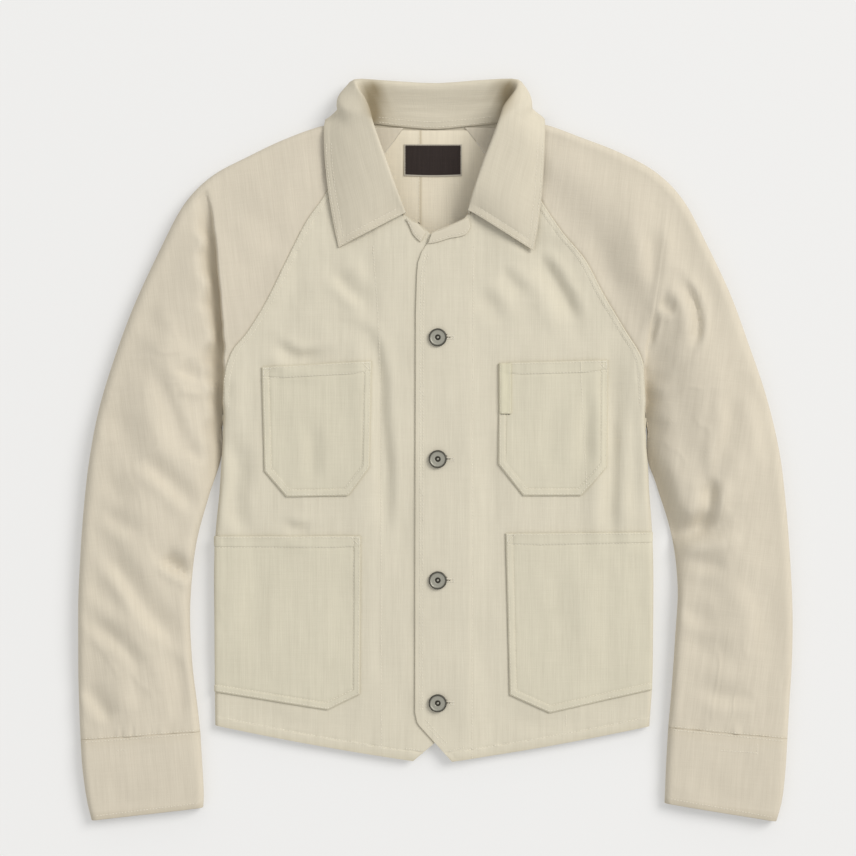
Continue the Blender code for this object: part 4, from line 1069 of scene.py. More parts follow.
def buildBack(side):
    name = "backLeft" if side > 0 else "backRight"
    centre = body["centreBackX"] + side * 0.5 * body["seamGap"]
    levels = np.concatenate([[None], np.arange(-276.0, 318.0, 6.0), [321.0]])
    across = spread(205.0, 6.0, (1.2, 6.5)) / 205.0
    rows = []
    for level in levels:
        y0 = -283.0 if level is None else float(level)
        share = float(tubeShare(side, y0))
        sewn = float(seamX(side, y0, "back")) - side * 0.34
        free = float(sideSeamX(side, y0)) - side * 0.34
        end = sewn + (free - sewn) * share
        joint = float(smooth(0.0, 0.22, share) * (1.0 - smooth(0.9, 1.0, share)))
        end += side * joint * max(side * (frontEndX(side, y0) - end) + 1.2, 0.0)  # laps under the turned edge at the underarm
        x = centre + (end - centre) * across
        y = backHem(x) if level is None else np.full(len(x), y0)
        rows.append(np.stack([x, y, collarLift(x, y)], axis=1))
    grid = np.array(rows)
    x, y = grid[..., 0], grid[..., 1]
    inside = np.maximum(softNoise(x, y, 28.0, 40.0, 51), 0.0) * 0.7 * smooth(200.0, 240.0, y)
    grid[..., 2] += inside
    wearAndPaintedShade = 1.5 * bandWear(np.abs(x - body["centreBackX"]), 1.3)
    grain = np.stack([x, y], axis=-1) * mm
    return makeSheet(name, grid, -body["cloth"], brightenedBackCloth, flip=side < 0, grain=grain, edgeRound=0.3, wearAndPaintedShade=wearAndPaintedShade)


for half in (-1, 1):
    buildBack(half)
print("back is laid")


collar = {
    "cloth": 1.7,
    "names": (
        "neckX", "neckY", "neckZ", "foldX", "foldY", "foldZ", "turnX", "turnY", "turnZ", "edgeX", "edgeY", "edgeZ", "under",
    ),
    "places": (0.0, 0.2, 0.4, 0.5, 0.7, 1.0),
    "stitch": 7.0,
    0: (
        (-31.6, 233.6, 19.0, -31.2, 236.6, 22.4, -36.0, 234.2, 22.4, -96.4, 202.5, 19.8, 0.0),
        (-39.0, 254.0, 18.8, -39.6, 258.5, 26.0, -45.0, 256.4, 25.8, -101.0, 224.0, 19.8, 0.0),
        (-48.6, 282.0, 18.8, -49.4, 285.5, 29.5, -55.0, 283.4, 29.2, -106.4, 256.0, 21.0, 0.0),
        (-57.0, 304.0, 18.4, -58.0, 309.0, 32.0, -64.0, 307.4, 31.4, -109.6, 285.0, 21.8, 0.0),
        (-62.6, 319.4, 17.2, -64.4, 327.5, 33.0, -71.4, 327.0, 32.0, -110.6, 306.0, 22.0, 0.0),
        (-68.6, 326.0, 14.4, -69.4, 340.0, 32.0, -89.0, 341.0, 27.0, -109.8, 330.0, 13.0, 0.3),
        (-71.8, 330.6, 9.0, -74.0, 351.5, 29.0, -93.0, 353.0, 19.0, -99.0, 331.0, 0.9, 0.8),
        (-69.4, 329.4, 4.6, -79.0, 362.0, 24.0, -88.6, 363.0, 14.0, -84.0, 322.0, 0.9, 1.0),
        (-58.0, 327.6, 3.4, -78.0, 369.0, 18.0, -79.6, 370.4, 10.0, -62.0, 313.0, 0.9, 1.0),
        (-34.0, 324.8, 3.2, -50.0, 367.6, 14.0, -49.0, 369.4, 7.4, -40.0, 309.5, 0.9, 1.0),
        (0.0, 322.4, 3.2, 0.0, 365.0, 12.5, 0.0, 366.8, 6.6, 0.0, 308.0, 0.9, 1.0),
        (31.5, 325.2, 3.2, 48.0, 368.2, 14.0, 47.0, 370.0, 7.4, 38.0, 309.5, 0.9, 1.0),
        (57.0, 327.8, 3.4, 78.0, 369.2, 18.0, 79.6, 370.4, 10.0, 62.0, 313.0, 0.9, 1.0),
        (69.4, 329.4, 4.6, 82.6, 363.0, 24.0, 88.0, 364.6, 14.0, 84.0, 322.0, 0.9, 1.0),
        (71.8, 330.6, 9.0, 77.6, 353.0, 29.0, 91.6, 354.0, 19.0, 98.0, 331.0, 0.9, 0.8),
        (68.6, 326.0, 14.4, 71.4, 343.0, 32.0, 88.0, 343.0, 27.0, 108.4, 332.0, 13.0, 0.3),
        (62.6, 319.4, 17.2, 65.8, 331.0, 33.0, 72.4, 330.6, 32.0, 108.6, 308.0, 22.0, 0.0),
        (57.0, 304.0, 18.4, 58.6, 311.0, 32.0, 64.6, 309.4, 31.4, 107.8, 285.0, 21.8, 0.0),
        (48.6, 282.0, 18.8, 49.6, 288.5, 29.5, 55.2, 286.4, 29.2, 106.0, 256.0, 21.2, 0.0),
        (39.0, 254.0, 20.2, 40.0, 260.5, 26.8, 45.4, 258.4, 26.6, 102.0, 223.0, 20.6, 0.0),
        (33.4, 235.4, 20.6, 33.6, 239.0, 23.8, 38.4, 236.6, 23.8, 97.6, 199.5, 20.2, 0.0),
    ),
}


def collarSectionAt(at, shares):
    value = {name: float(tableAt(collar, 0, name, at)) for name in collar["names"]}
    neck, fold, turn, edge = (np.array([value[place + axis] for axis in "XYZ"]) for place in ("neck", "fold", "turn", "edge"))
    raised = 5.6 * (1.0 - min(value["under"], 1.0)) * float(smooth(0.0, 1.2, min(at, 20.0 - at)))
    fold[2] += raised
    turn[2] += raised
    stand = neck + (fold - neck) * 0.5 - np.array((0.0, 0.0, 1.0))
    overLeaf = turn + (edge - turn) * 0.5 + np.array((0.0, 0.0, 2.3))
    underLeaf = turn + (edge - turn) * 0.3
    underLeaf[2] = 1.4
    leaf = overLeaf + (underLeaf - overLeaf) * value["under"]
    points = np.array((neck, stand, fold, turn, leaf, edge))
    section = np.stack([flowing(collar["places"], points[:, axis], shares) for axis in range(3)], axis=1)
    section[:, 2] = np.maximum(section[:, 2], 0.5 * collar["cloth"])
    return section, value["under"]


def buildCollar():
    stand = np.linspace(0.0, 0.4, 19)[:-1]
    roll = np.linspace(0.4, 0.57, 13)[:-1]
    leaf = 0.57 + 0.43 * spread(75.0, 2.8, (75.0 - collar["stitch"], 74.4)) / 75.0
    shares = np.concatenate([stand, roll, leaf])
    places = spread(20.0, 0.12)
    ends = [0.02, 0.05, 0.3, 0.33, 0.36]
    places = np.array(sorted(set([round(float(p), 4) for p in places] + ends + [20.0 - e for e in ends])))
    sections = [collarSectionAt(at, shares) for at in places]
    grid = np.array([s[0] for s in sections])
    under = np.array([s[1] for s in sections])[:, None]
    x, y = grid[..., 0], grid[..., 1]
    fromEdge = np.array([arcLengths(row[::-1])[::-1] for row in grid])
    fromNeck = np.array([arcLengths(row) for row in grid])
    endA = np.hypot(grid[..., 0] - grid[:1, :, 0], grid[..., 1] - grid[:1, :, 1])
    endB = np.hypot(grid[..., 0] - grid[-1:, :, 0], grid[..., 1] - grid[-1:, :, 1])
    fromEnd = np.minimum(endA, endB)
    over = 1.0 - np.clip(under, 0.0, 1.0)
    border = np.minimum(fromEdge, fromEnd)
    leafMask = smooth(0.45, 0.55, shares)[None, :] * over
    lift = 0.5 * softNoise(x, y, 24.0, 30.0, 61) + 0.25 * softNoise(x, y, 10.0, 14.0, 62)
    lift += 0.16 * softNoise(x, y, 3.6, 3.6, 63) * np.exp(-(((border - 5.0) / 5.0) ** 2))
    lift += 0.35 * (1.0 - smooth(6.4, 7.6, border)) - 0.3 * np.exp(-(((border - 7.0) / 0.9) ** 2))
    grid[..., 2] += lift * leafMask
    standMask = (1.0 - smooth(0.3, 0.5, shares))[None, :] * np.ones_like(x)
    crumple = 1.0 * softNoise(x, y, 34.0, 11.0, 64) + 0.3 * softNoise(x, y, 6.0, 5.0, 65)
    grid[..., 2] += np.maximum(crumple, -0.3) * standMask * smooth(0.0, 8.0, fromNeck)
    wearAndPaintedShade = 0.3 * bandWear(border, 1.8) * leafMask + 0.5 * bandWear(fromNeck, 1.2)
    # Painted shade: the inner upper corners of the stand are darkened, where shade falls inside the collar.
    corner = np.exp(-(((np.abs(x - 5.0) - 68.0) / 10.5) ** 2)) * smooth(322.0, 334.0, y)
    wearAndPaintedShade = np.maximum(wearAndPaintedShade, 2.3 * standMask * corner)
    return makeSheet("collarCloth", grid, collar["cloth"], collarCloth, offset=0.0, edgeRound=0.5, wearAndPaintedShade=wearAndPaintedShade)


buildCollar()
print("collar is on")


neckBand = {
    "cloth": 1.2,
    "above": 1.7,
    1: (
        (-7.6, 206.0, -3.8, 216.6, 0.0), (1.6, 207.6, 5.0, 220.0, 0.3), (14.0, 211.4, 15.8, 224.6, 0.8),
        (25.0, 213.4, 25.6, 229.0, 1.2), (31.6, 216.4, 30.4, 231.2, 1.2), (35.0, 223.0, 33.4, 231.4, 0.9),
    ),
    -1: (
        (-14.8, 208.2, -9.6, 217.6, 0.0), (-18.6, 211.4, -13.8, 222.0, 0.3), (-22.8, 216.6, -18.6, 226.4, 0.6),
        (-25.8, 223.4, -24.0, 228.8, 0.8), (-29.4, 231.0, -28.0, 231.8, 0.6),
    ),
}


def buildNeckBand(side):
    name = "neckBandLeft" if side > 0 else "neckBandRight"
    table = np.array(neckBand[side])
    knots = range(len(table))
    rows = []
    for at in np.linspace(0.0, len(table) - 1, 34):
        lowX, lowY, highX, highY, rise = (float(flowing(knots, table[:, c], at)) for c in range(5))
        share = np.linspace(0.0, 1.0, 12)
        x = lowX + (highX - lowX) * share
        y = lowY + (highY - lowY) * share
        bulge = 0.5 * np.sin(np.pi * share)
        z = frontTop(x, y, side) + creaseField(x, y) * 0.9 + 0.3 + neckBand["above"] + rise * share + bulge
        rows.append(np.stack([x, y, z], axis=1))
    return makeSheet(name, rows, neckBand["cloth"], collarCloth, flip=side > 0, edgeRound=0.45)


for half in (-1, 1):
    buildNeckBand(half)


pockets = {
    "cloth": 1.1,
    "above": 1.55,
    "turned": 7.0,  # seam allowance turned under at the sides and below
    "mouthHem": 12.0,
    "cell": 2.6,
    "pocketChestRight": {
        "side": -1,
        "mouth": ((-173.4, 83.5), (-63.4, 89.5)),
        "lower": ((0.0, -170.7, -20.5), (0.2, -148.9, -46.2), (0.79, -86.9, -45.1), (1.0, -65.7, -16.9)),
    },
    "pocketChestLeft": {
        "side": 1,
        "mouth": ((63.6, 87.5), (172.6, 90.5)),
        "lower": ((0.0, 62.6, -13.5), (0.2, 87.6, -45.0), (0.77, 145.6, -45.0), (1.0, 171.6, -16.5)),
    },
    "pocketLowerRight": {
        "side": -1,
        "mouth": ((-219.6, -85.5), (-74.4, -84.9)),
        "lower": ((0.0, -219.8, -241.5), (0.78, -107.8, -259.5), (1.0, -75.4, -243.5)),
    },
    "pocketLowerLeft": {
        "side": 1,
        "mouth": ((70.0, -82.5), (216.0, -81.5)),
        "lower": ((0.0, 74.2, -244.5), (0.24, 114.2, -262.5), (1.0, 215.6, -239.5)),
    },
}


def pocketOutline(cut):  # the turned edges from one mouth corner to the other, without a side caught in the side seam
    low = [(x, y) for _, x, y in cut["lower"]]
    return np.array([corner for corner in (cut["mouth"][0], *low, cut["mouth"][1]) if corner in low or abs(corner[0]) < 200.0], float)


def buildPocket(name):
    cut = pockets[name]
    side = cut["side"]
    (x0, y0), (x1, y1) = cut["mouth"]
    wide = math.hypot(x1 - x0, y1 - y0)
    deep = y0 - min(row[2] for row in cut["lower"])
    turned = pockets["turned"]
    across = spread(wide, pockets["cell"], (0.6, turned, wide - turned, wide - 0.6)) / wide
    corners = [row[0] for row in cut["lower"]]
    across = np.array(sorted(set([s for s in across if all(abs(s - c) > 0.004 for c in corners)] + corners)))
    down = spread(deep, pockets["cell"], (0.6, pockets["mouthHem"], deep - turned, deep - 0.6)) / deep
    lowX = np.interp(across, corners, [row[1] for row in cut["lower"]])
    lowY = np.interp(across, corners, [row[2] for row in cut["lower"]])
    topX = x0 + (x1 - x0) * across
    topY = y0 + (y1 - y0) * across
    x = topX[None, :] + (lowX - topX)[None, :] * down[:, None]
    y = topY[None, :] + (lowY - topY)[None, :] * down[:, None]
    step = 0.2
    z = frontTop(x, y, side)
    slopeX = (frontTop(x + step, y, side) - frontTop(x - step, y, side)) / (2.0 * step)
    slopeY = (frontTop(x, y + step, side) - frontTop(x, y - step, side)) / (2.0 * step)
    normal = np.stack([-slopeX, -slopeY, np.ones_like(z)], axis=-1)
    normal /= np.linalg.norm(normal, axis=-1)[..., None]
    fromEdge = toPath(x, y, pocketOutline(cut))[0]
    fromMouth = (down * deep)[:, None] + 0.0 * x
    turnedBand = 1.0 - smooth(turned - 0.9, turned + 0.7, fromEdge)
    hemBand = 1.0 - smooth(pockets["mouthHem"] - 0.9, pockets["mouthHem"] + 0.7, fromMouth)
    ripple = softNoise(x, y, 3.8, 5.0, 71) + 0.6 * softNoise(x, y, 2.4, 2.8, 72)
    rise = 0.55 * np.maximum(turnedBand, hemBand)
    rise -= 0.46 * np.exp(-(((fromEdge - turned) / 0.8) ** 2)) + 0.3 * np.exp(-(((fromMouth - pockets["mouthHem"]) / 0.8) ** 2))
    rise += 0.15 * ripple * np.exp(-(((fromEdge - turned) / 5.0) ** 2))
    rise += 0.15 * ripple * np.exp(-(((fromMouth - pockets["mouthHem"]) / 5.0) ** 2))
    rise -= 0.55 * np.exp(-((np.minimum(fromEdge, fromMouth) / 0.7) ** 2))
    rise += 0.5 * np.maximum(softNoise(x, y, 40.0, 46.0, 73), 0.0) * smooth(8.0, 26.0, fromEdge)
    rise += 0.6 * np.exp(-((fromMouth / 4.5) ** 2)) * smooth(4.0, 16.0, np.minimum(across, 1.0 - across) * wide)
    base = np.stack([x, y, z], axis=-1)
    lifted = base + normal * (pockets["above"] + rise)[..., None]
    lifted[..., 2] += creaseField(x, y) * topWeight(z, bodyTop(x, y) + lapStep(x, side))
    wearAndPaintedShade = 0.6 * bandWear(fromEdge, 1.4) + 0.4 * bandWear(fromMouth, 1.4) + 0.25 * bandWear(fromEdge - turned, 0.9)
    grain = np.stack([x, y], axis=-1) * mm + 0.37
    return makeSheet(name, lifted, pockets["cloth"], pocketCloth, flip=True, grain=grain, wearAndPaintedShade=wearAndPaintedShade)


pocketNames = [name for name in pockets if name.startswith("pocket")]
for name in pocketNames:
    buildPocket(name)
print("pockets are on")


surfaces = {}


def surfaceOf(name):
    if name not in surfaces:
        graph = bpy.context.evaluated_depsgraph_get()
        evaluated = madeSheets[name].evaluated_get(graph)
        mesh = evaluated.to_mesh()
        vertices = [v.co.copy() for v in mesh.vertices]
        polygons = [tuple(p.vertices) for p in mesh.polygons]
        surfaces[name] = BVHTree.FromPolygons(vertices, polygons)
        evaluated.to_mesh_clear()
    return surfaces[name]


def onCloth(name, x, y, fromAbove=True):
    start = Vector((x * mm, y * mm, 0.2 if fromAbove else -0.2))
    hit, normal, _, _ = surfaceOf(name).ray_cast(start, Vector((0.0, 0.0, -1.0 if fromAbove else 1.0)))
    return (hit, normal) if hit is not None else (None, None)


trim = {
    "cloth": 1.0,
    "tab": ((63.0, 87.0), (75.8, 36.6)),
    "label": ((-31.4, 307.0), (26.6, 275.5)),
    "border": 1.3,
    "bow": 0.9,
}


def layPatch(name, corners, onto, above, material, cell, wall, edgeRound, bow=0.0, border=0.0):
    (x0, y0), (x1, y1) = corners
    wide, deep = x1 - x0, y0 - y1
    us = spread(wide, cell, (border, wide - border) if border else ())
    vs = spread(deep, cell, (border, deep - border) if border else ())
    grid = np.zeros((len(vs), len(us), 3))
    for j, v in enumerate(vs):
        for i, u in enumerate(us):
            x = x0 + u
            y = y0 - v - bow * math.sin(math.pi * u / wide) * v / deep
            hits = [onCloth(piece, x, y)[0] for piece in onto]
            heights = [hit.z / mm for hit in hits if hit is not None]
            if not heights:
                heights = [grid[j - 1, i, 2] - above if j else 20.0]
            grid[j, i] = (x, y, max(heights) + above + 0.25 * float(softNoise(x, y, 12.0, 12.0, 81)))
    toSide = np.minimum(us, wide - us)[None, :]
    toEnd = np.minimum(vs, deep - vs)[:, None]
    inside = np.minimum(toSide + 0.0 * toEnd, toEnd + 0.0 * toSide)
    wearAndPaintedShade = (1.0 - smooth(border - 0.35, border + 0.35, inside)) if border else 0.5 * bandWear(inside, 1.2)
    return makeSheet(name, grid, wall, material, flip=True, edgeRound=edgeRound, wearAndPaintedShade=wearAndPaintedShade)


layPatch("pocketTab", trim["tab"], ("pocketChestLeft",), 1.25, tabCloth, 1.9, trim["cloth"], 0.3)
layPatch(
    "neckLabel", trim["label"], ("backLeft", "backRight"), 1.1, labelCloth, 2.2, 0.8, 0.2, trim["bow"], trim["border"]
)
print("tab and label are on")


# Each stitch is a small closed grain of thread that dips into the cloth at both ends.
stitching = {"length": 2.6, "pitch": 3.1, "width": 0.6, "rise": 0.14, "sink": 0.22}
grains = {}


def onPath(path, run, at):
    return np.interp(at, run, path[:, 0]), np.interp(at, run, path[:, 1])


def addGrain(key, a, b, up, width):
    a, b, up = np.array(a) / mm, np.array(b) / mm, np.array(up)
    along = (b - a) / max(np.linalg.norm(b - a), 1e-6)
    across = np.cross(along, up)
    across /= max(np.linalg.norm(across), 1e-6)
    points = [a - up * stitching["sink"]]
    for share in (0.24, 0.76):
        middle = a + (b - a) * share + up * stitching["rise"]
        points += [middle + across * 0.5 * width, middle + up * 0.42 * width, middle - across * 0.5 * width, middle - up * 0.5 * width]
    points.append(b - up * stitching["sink"])
    grains.setdefault(key, []).append(np.array(points))


def sewAlong(key, panels, path, fromAbove=True, pitch=None, length=None, width=None, steepest=0.35):
    pitch = pitch or stitching["pitch"]
    length = length or stitching["length"]
    width = width or stitching["width"]
    path = np.asarray(path, float)
    run = arcLengths(path)
    count = max(int(run[-1] / pitch), 1)
    for i in range(count):
        middle = (i + 0.5) * run[-1] / count
        wobble = 0.12 * math.sin(2.3 * i) + 0.08 * math.sin(5.1 * i + 1.0)
        ends = []
        for d in (-0.5 * length, 0.5 * length):
            x, y = onPath(path, run, middle + d)
            hits = [onCloth(panel, x + wobble, y, fromAbove) for panel in panels]
            hits = [hit for hit in hits if hit[0] is not None]
            if hits:
                ends.append(max(hits, key=lambda hit: hit[0].z if fromAbove else -hit[0].z))
        if len(ends) < 2 or abs(ends[0][0].z - ends[1][0].z) > 0.6 * length * mm:
            continue
        up = ends[0][1] if ends[0][1].z * (1.0 if fromAbove else -1.0) > 0.0 else -ends[0][1]
        if abs(up.z) < steepest:
            continue
        addGrain(key, ends[0][0], ends[1][0], up, width)


def sewBars(key, panels, path, barLength, pitch, width):  # short stitches across a line
    path = np.asarray(path, float)
    run = arcLengths(path)
    for at in np.arange(0.5 * pitch, run[-1], pitch):
        x, y = onPath(path, run, at)
        x2, y2 = onPath(path, run, min(at + 0.1, run[-1]))
        x1, y1 = onPath(path, run, max(at - 0.1, 0.0))
        step = math.hypot(x2 - x1, y2 - y1)
        nx, ny = -(y2 - y1) / step, (x2 - x1) / step
        half = 0.5 * barLength
        ends = []
        for sign in (-1.0, 1.0):
            hits = [onCloth(panel, x + nx * half * sign, y + ny * half * sign) for panel in panels]
            hits = [hit for hit in hits if hit[0] is not None]
            if hits:
                ends.append(max(hits, key=lambda hit: hit[0].z))
        if len(ends) == 2 and abs(ends[0][0].z - ends[1][0].z) < 0.8 * mm:
            addGrain(key, ends[0][0], ends[1][0], ends[0][1] if ends[0][1].z > 0 else -ends[0][1], width)


def buildGrains(key, material):
    points = np.array(grains[key])
    count = len(points)
    faces = []
    for k in range(4):
        n = (k + 1) % 4
        faces += [(0, 1 + n, 1 + k), (9, 5 + k, 5 + n), (1 + k, 1 + n, 5 + n, 5 + k)]
    every = [tuple(10 * i + v for v in face) for i in range(count) for face in faces]
    mesh = bpy.data.meshes.new(key)
    mesh.from_pydata((points.reshape(-1, 3) * mm).tolist(), [], every)
    around = np.array([0.0, 0.0, 0.25, 0.5, 0.75, 0.0, 0.25, 0.5, 0.75, 1.0])
    along = np.array([0.0, 0.6, 0.6, 0.6, 0.6, 1.9, 1.9, 1.9, 1.9, 2.5])
    loops = np.zeros(len(mesh.loops), int)
    mesh.loops.foreach_get("vertex_index", loops)
    uv = np.stack([around[loops % 10] * 1.4 + 3.0 * (loops // 10), along[loops % 10]], axis=-1) * mm
    mesh.uv_layers.new(name="grain").data.foreach_set("uv", uv.reshape(-1))
    mesh.attributes.new("wearAndPaintedShade", "FLOAT", "POINT").data.foreach_set("value", np.zeros(10 * count))
    mesh.shade_smooth()
    mesh.materials.append(material)
    obj = bpy.data.objects.new(key, mesh)
    scene.collection.objects.link(obj)
    return obj


def inset(points, distance):  # a broken line moved to its left
    points = np.asarray(points, float)
    steps = np.diff(points, axis=0)
    steps /= np.linalg.norm(steps, axis=1)[:, None]
    normals = np.stack([-steps[:, 1], steps[:, 0]], axis=1)
    moved = [points[0] + normals[0] * distance]
    for a, b, point in zip(normals[:-1], normals[1:], points[1:-1]):
        bisector = a + b
        moved.append(point + bisector * distance / max(float(np.dot(bisector, a)), 0.2))
    moved.append(points[-1] + normals[-1] * distance)
    return np.array(moved)


def columnPath(lineX, levels):
    return [(float(lineX(y)), float(y)) for y in levels]


def sewFront(side):
    panel = "frontLeft" if side > 0 else "frontRight"
    key = "stitches" + panel[0].upper() + panel[1:]
    for offset in front["raglanStitch"]:
        levels = np.arange(290.0 if side < 0 else 288.0, 40.0, -4.0)
        sewAlong(key, (panel,), columnPath(lambda y: seamX(side, y, "seam") - side * offset, levels))
    levels = np.arange(205.0, -300.0, -6.0)
    sewAlong(key, (panel,), columnPath(lambda y: facingX(side, y), levels))
    if side > 0:
        for offset in front["edgeStitches"]:
            levels = np.arange(196.0, -262.0, -6.0)
            sewAlong(key, (panel,), columnPath(lambda y: frontEdgeX(side, y) + offset, levels))
            corner = [(frontEdgeX(side, y) + 0.75 * offset, y + 0.9 * offset) for y in (-275.0, -283.0, -292.0, -300.0)]
            sewAlong(key, (panel,), corner)
    ends = (27.0, 205.0) if side > 0 else (-36.0, -209.0)
    for offset in front["hemStitches"]:
        path = [(x, float(frontHem(x)) + offset) for x in np.linspace(*ends, 60)]
        sewAlong(key, (panel,), path)
    for line in front["marks"][side]:
        sewAlong(key, (panel,), line, pitch=2.2, length=2.0, width=0.7)


front["edgeStitches"] = (4.6, 7.4)
front["hemStitches"] = (9.6,)
front["marks"] = {
    1: (((13.6, -300.8), (28.6, -297.0)), ((36.6, -297.5), (36.6, -308.5)), ((130.6, -264.5), (130.6, -276.5))),
    -1: (((-30.4, -298.0), (-15.4, -300.2)),),
}
for half in (-1, 1):
    sewFront(half)


def sewPocket(name):
    cut = pockets[name]
    key = "stitches" + name[0].upper() + name[1:]
    outline = pocketOutline(cut)
    for offset in (1.7, 7.0):
        sewAlong(key, (name,), inset(outline, offset))
    (x0, y0), (x1, y1) = cut["mouth"]
    for offset in (1.6, pockets["mouthHem"] - 0.6):
        sewAlong(key, (name,), ((x0 + 2.0, y0 - offset), (x1 - 2.0, y1 - offset)))
    for x, y, toward in ((x0, y0, 1.0), (x1, y1, -1.0)):
        if abs(x) > 200.0:
            continue
        tack = ((x + toward * 1.8, y - 9.5), (x + toward * 9.5, y - 1.8), (x + toward * 2.0, y - 1.9), (x + toward * 1.8, y - 9.0))
        sewAlong(key, (name,), tack, pitch=1.5, length=1.7, width=0.8)


for name in pocketNames:
    sewPocket(name)
slotPath = ((145.0, 76.0), (146.0, 60.0), (148.0, 20.0), (151.0, -38.0))
sewAlong("stitchesPocketChestLeft", ("pocketChestLeft",), slotPath)
sewAlong("stitchesPocketChestLeft", ("pocketChestLeft",), ((145.0, 89.0), (145.4, 77.5)), pitch=1.4, length=1.6, width=0.8)
tabEnds = (((64.6, 84.6), (64.6, 38.6)), ((74.2, 84.6), (74.2, 38.6)), ((65.0, 38.0), (74.0, 38.0)))
for line in tabEnds:
    sewAlong("stitchesPocketTab", ("pocketTab",), line, pitch=2.7, length=2.2)
sewAlong("darkStitchesPocketTab", ("pocketTab", "pocketChestLeft"), ((64.4, 36.4), (74.4, 36.0)), pitch=2.4, length=2.2, width=0.6)

for line in (((-30.0, 305.9), (25.2, 305.9)), ((-30.2, 305.0), (-30.2, 277.0)), ((25.4, 305.0), (25.4, 277.0))):
    sewAlong("darkStitchesNeckLabel", ("neckLabel",), line, pitch=2.6, length=2.0, width=0.35)


def sewSleeve(side):
    panel = "sleeveLeft" if side > 0 else "sleeveRight"
    key = "stitches" + panel[0].upper() + panel[1:]
    first, second = cuff[side][0][:2], cuff[side][0][2:4]
    for lift in (1.5,):
        path = [(first[0] + side * 5.0, first[1] + lift), (second[0] - side * 5.0, second[1] + lift)]
        sewAlong(key, (panel,), path)
        sewAlong(key, (panel,), path, fromAbove=False)
    low = [(x - side * (body["sideWrap"] + 8.6), y) for x, y in ((row[0] + side * 2.0 * 15.0, row[1]) for row in sleeve[side][11:16])]
    sewAlong(key, (panel,), low, fromAbove=False)
    backLine = [(row[4] + side * 2.0, row[5]) for row in sleeve[side][1:9]]
    sewAlong(key, (panel,), backLine, fromAbove=False)
    panel = "cuffLeft" if side > 0 else "cuffRight"
    key = "stitches" + panel[0].upper() + panel[1:]
    for lift in (-2.0, -72.0):
        lower = cuff[side][3] if lift < -10.0 else cuff[side][0]
        rise = 5.0 if lift < -10.0 else lift
        path = [(lower[0] + side * 5.0, lower[1] + rise), (lower[2] - side * 5.0, lower[3] + rise)]
        sewAlong(key, (panel,), path)
        sewAlong(key, (panel,), path, fromAbove=False)
    for line in cuff["marks"][side]:
        sewAlong(key, (panel,), line, pitch=2.6, length=2.3, width=0.6)


cuff["marks"] = {
    1: (((284.6, -299.7), (302.0, -300.6), (321.6, -302.0)), ((321.6, -292.5), (321.6, -304.5))),
    -1: (((-319.4, -299.5), (-309.4, -299.2)),),
}
for half in (-1, 1):
    sewSleeve(half)


def sewBack(side):
    panel = "backLeft" if side > 0 else "backRight"
    key = "stitches" + panel[0].upper() + panel[1:]
    levels = np.arange(316.0, -280.0, -8.0)
    for offset in (1.7, 6.4):
        path = [(body["centreBackX"] + side * offset, y) for y in levels]
        if side < 0 and offset < 2.0:
            sewAlong(key, (panel,), path[:14])
        sewAlong(key, (panel,), path, fromAbove=False)
        levelsHigh = np.arange(300.0, 70.0, -8.0)
        raglanPath = [(float(seamX(side, y, "back")) - side * (offset + 0.4), y) for y in levelsHigh]
        sewAlong(key, (panel,), raglanPath, fromAbove=False)
        if offset < 2.0:
            sewAlong(key, (panel,), raglanPath)
    path = [(x, float(backHem(x)) + 9.0) for x in np.linspace(-12.0 if side > 0 else -18.0, side * 198.0, 50)]
    sewAlong(key, (panel,), path, fromAbove=False)


for half in (-1, 1):
    sewBack(half)


def sewCollar():
    key = "stitchesCollarCloth"
    rows = collar[0]
    leftEnd = [(rows[0][6], rows[0][7]), (rows[0][9], rows[0][10])]
    edge = [(row[9], row[10]) for row in rows[:5]]
    outline = [leftEnd[0], leftEnd[1]] + edge[1:]
    sewAlong(key, ("collarCloth",), inset(outline, -collar["stitch"]))
    sewAlong(key, ("collarCloth",), inset(outline, -1.8))
    edge = [(row[9], row[10]) for row in rows[:15:-1]]
    outline = [(rows[-1][6], rows[-1][7])] + edge
    sewAlong(key, ("collarCloth",), inset(outline, collar["stitch"]))
    sewAlong(key, ("collarCloth",), inset(outline, 1.8))
    for rise in (1.6, 6.4):
        neck = [(row[0] * 0.99, row[1] + rise) for row in rows[8:13]]
        sewAlong(key, ("collarCloth",), neck)


sewCollar()
for half in (-1, 1):
    panel = "neckBandLeft" if half > 0 else "neckBandRight"
    key = "stitches" + panel[0].upper() + panel[1:]
    table = neckBand[half]
    sewAlong(key, (panel,), [(row[0] * 0.8 + row[2] * 0.2, row[1] * 0.8 + row[3] * 0.2) for row in table])
sewAlong("darkStitchesNeckBandRight", ("neckBandRight", "backRight", "frontRight"), ((-17.6, 229.2), (-9.4, 221.8)), pitch=2.6, length=2.9, width=0.9)
sewAlong("darkStitchesNeckBandLeft", ("neckBandLeft", "frontLeft"), ((16.2, 224.9), (18.6, 224.1)), pitch=2.2, length=2.0, width=1.0)


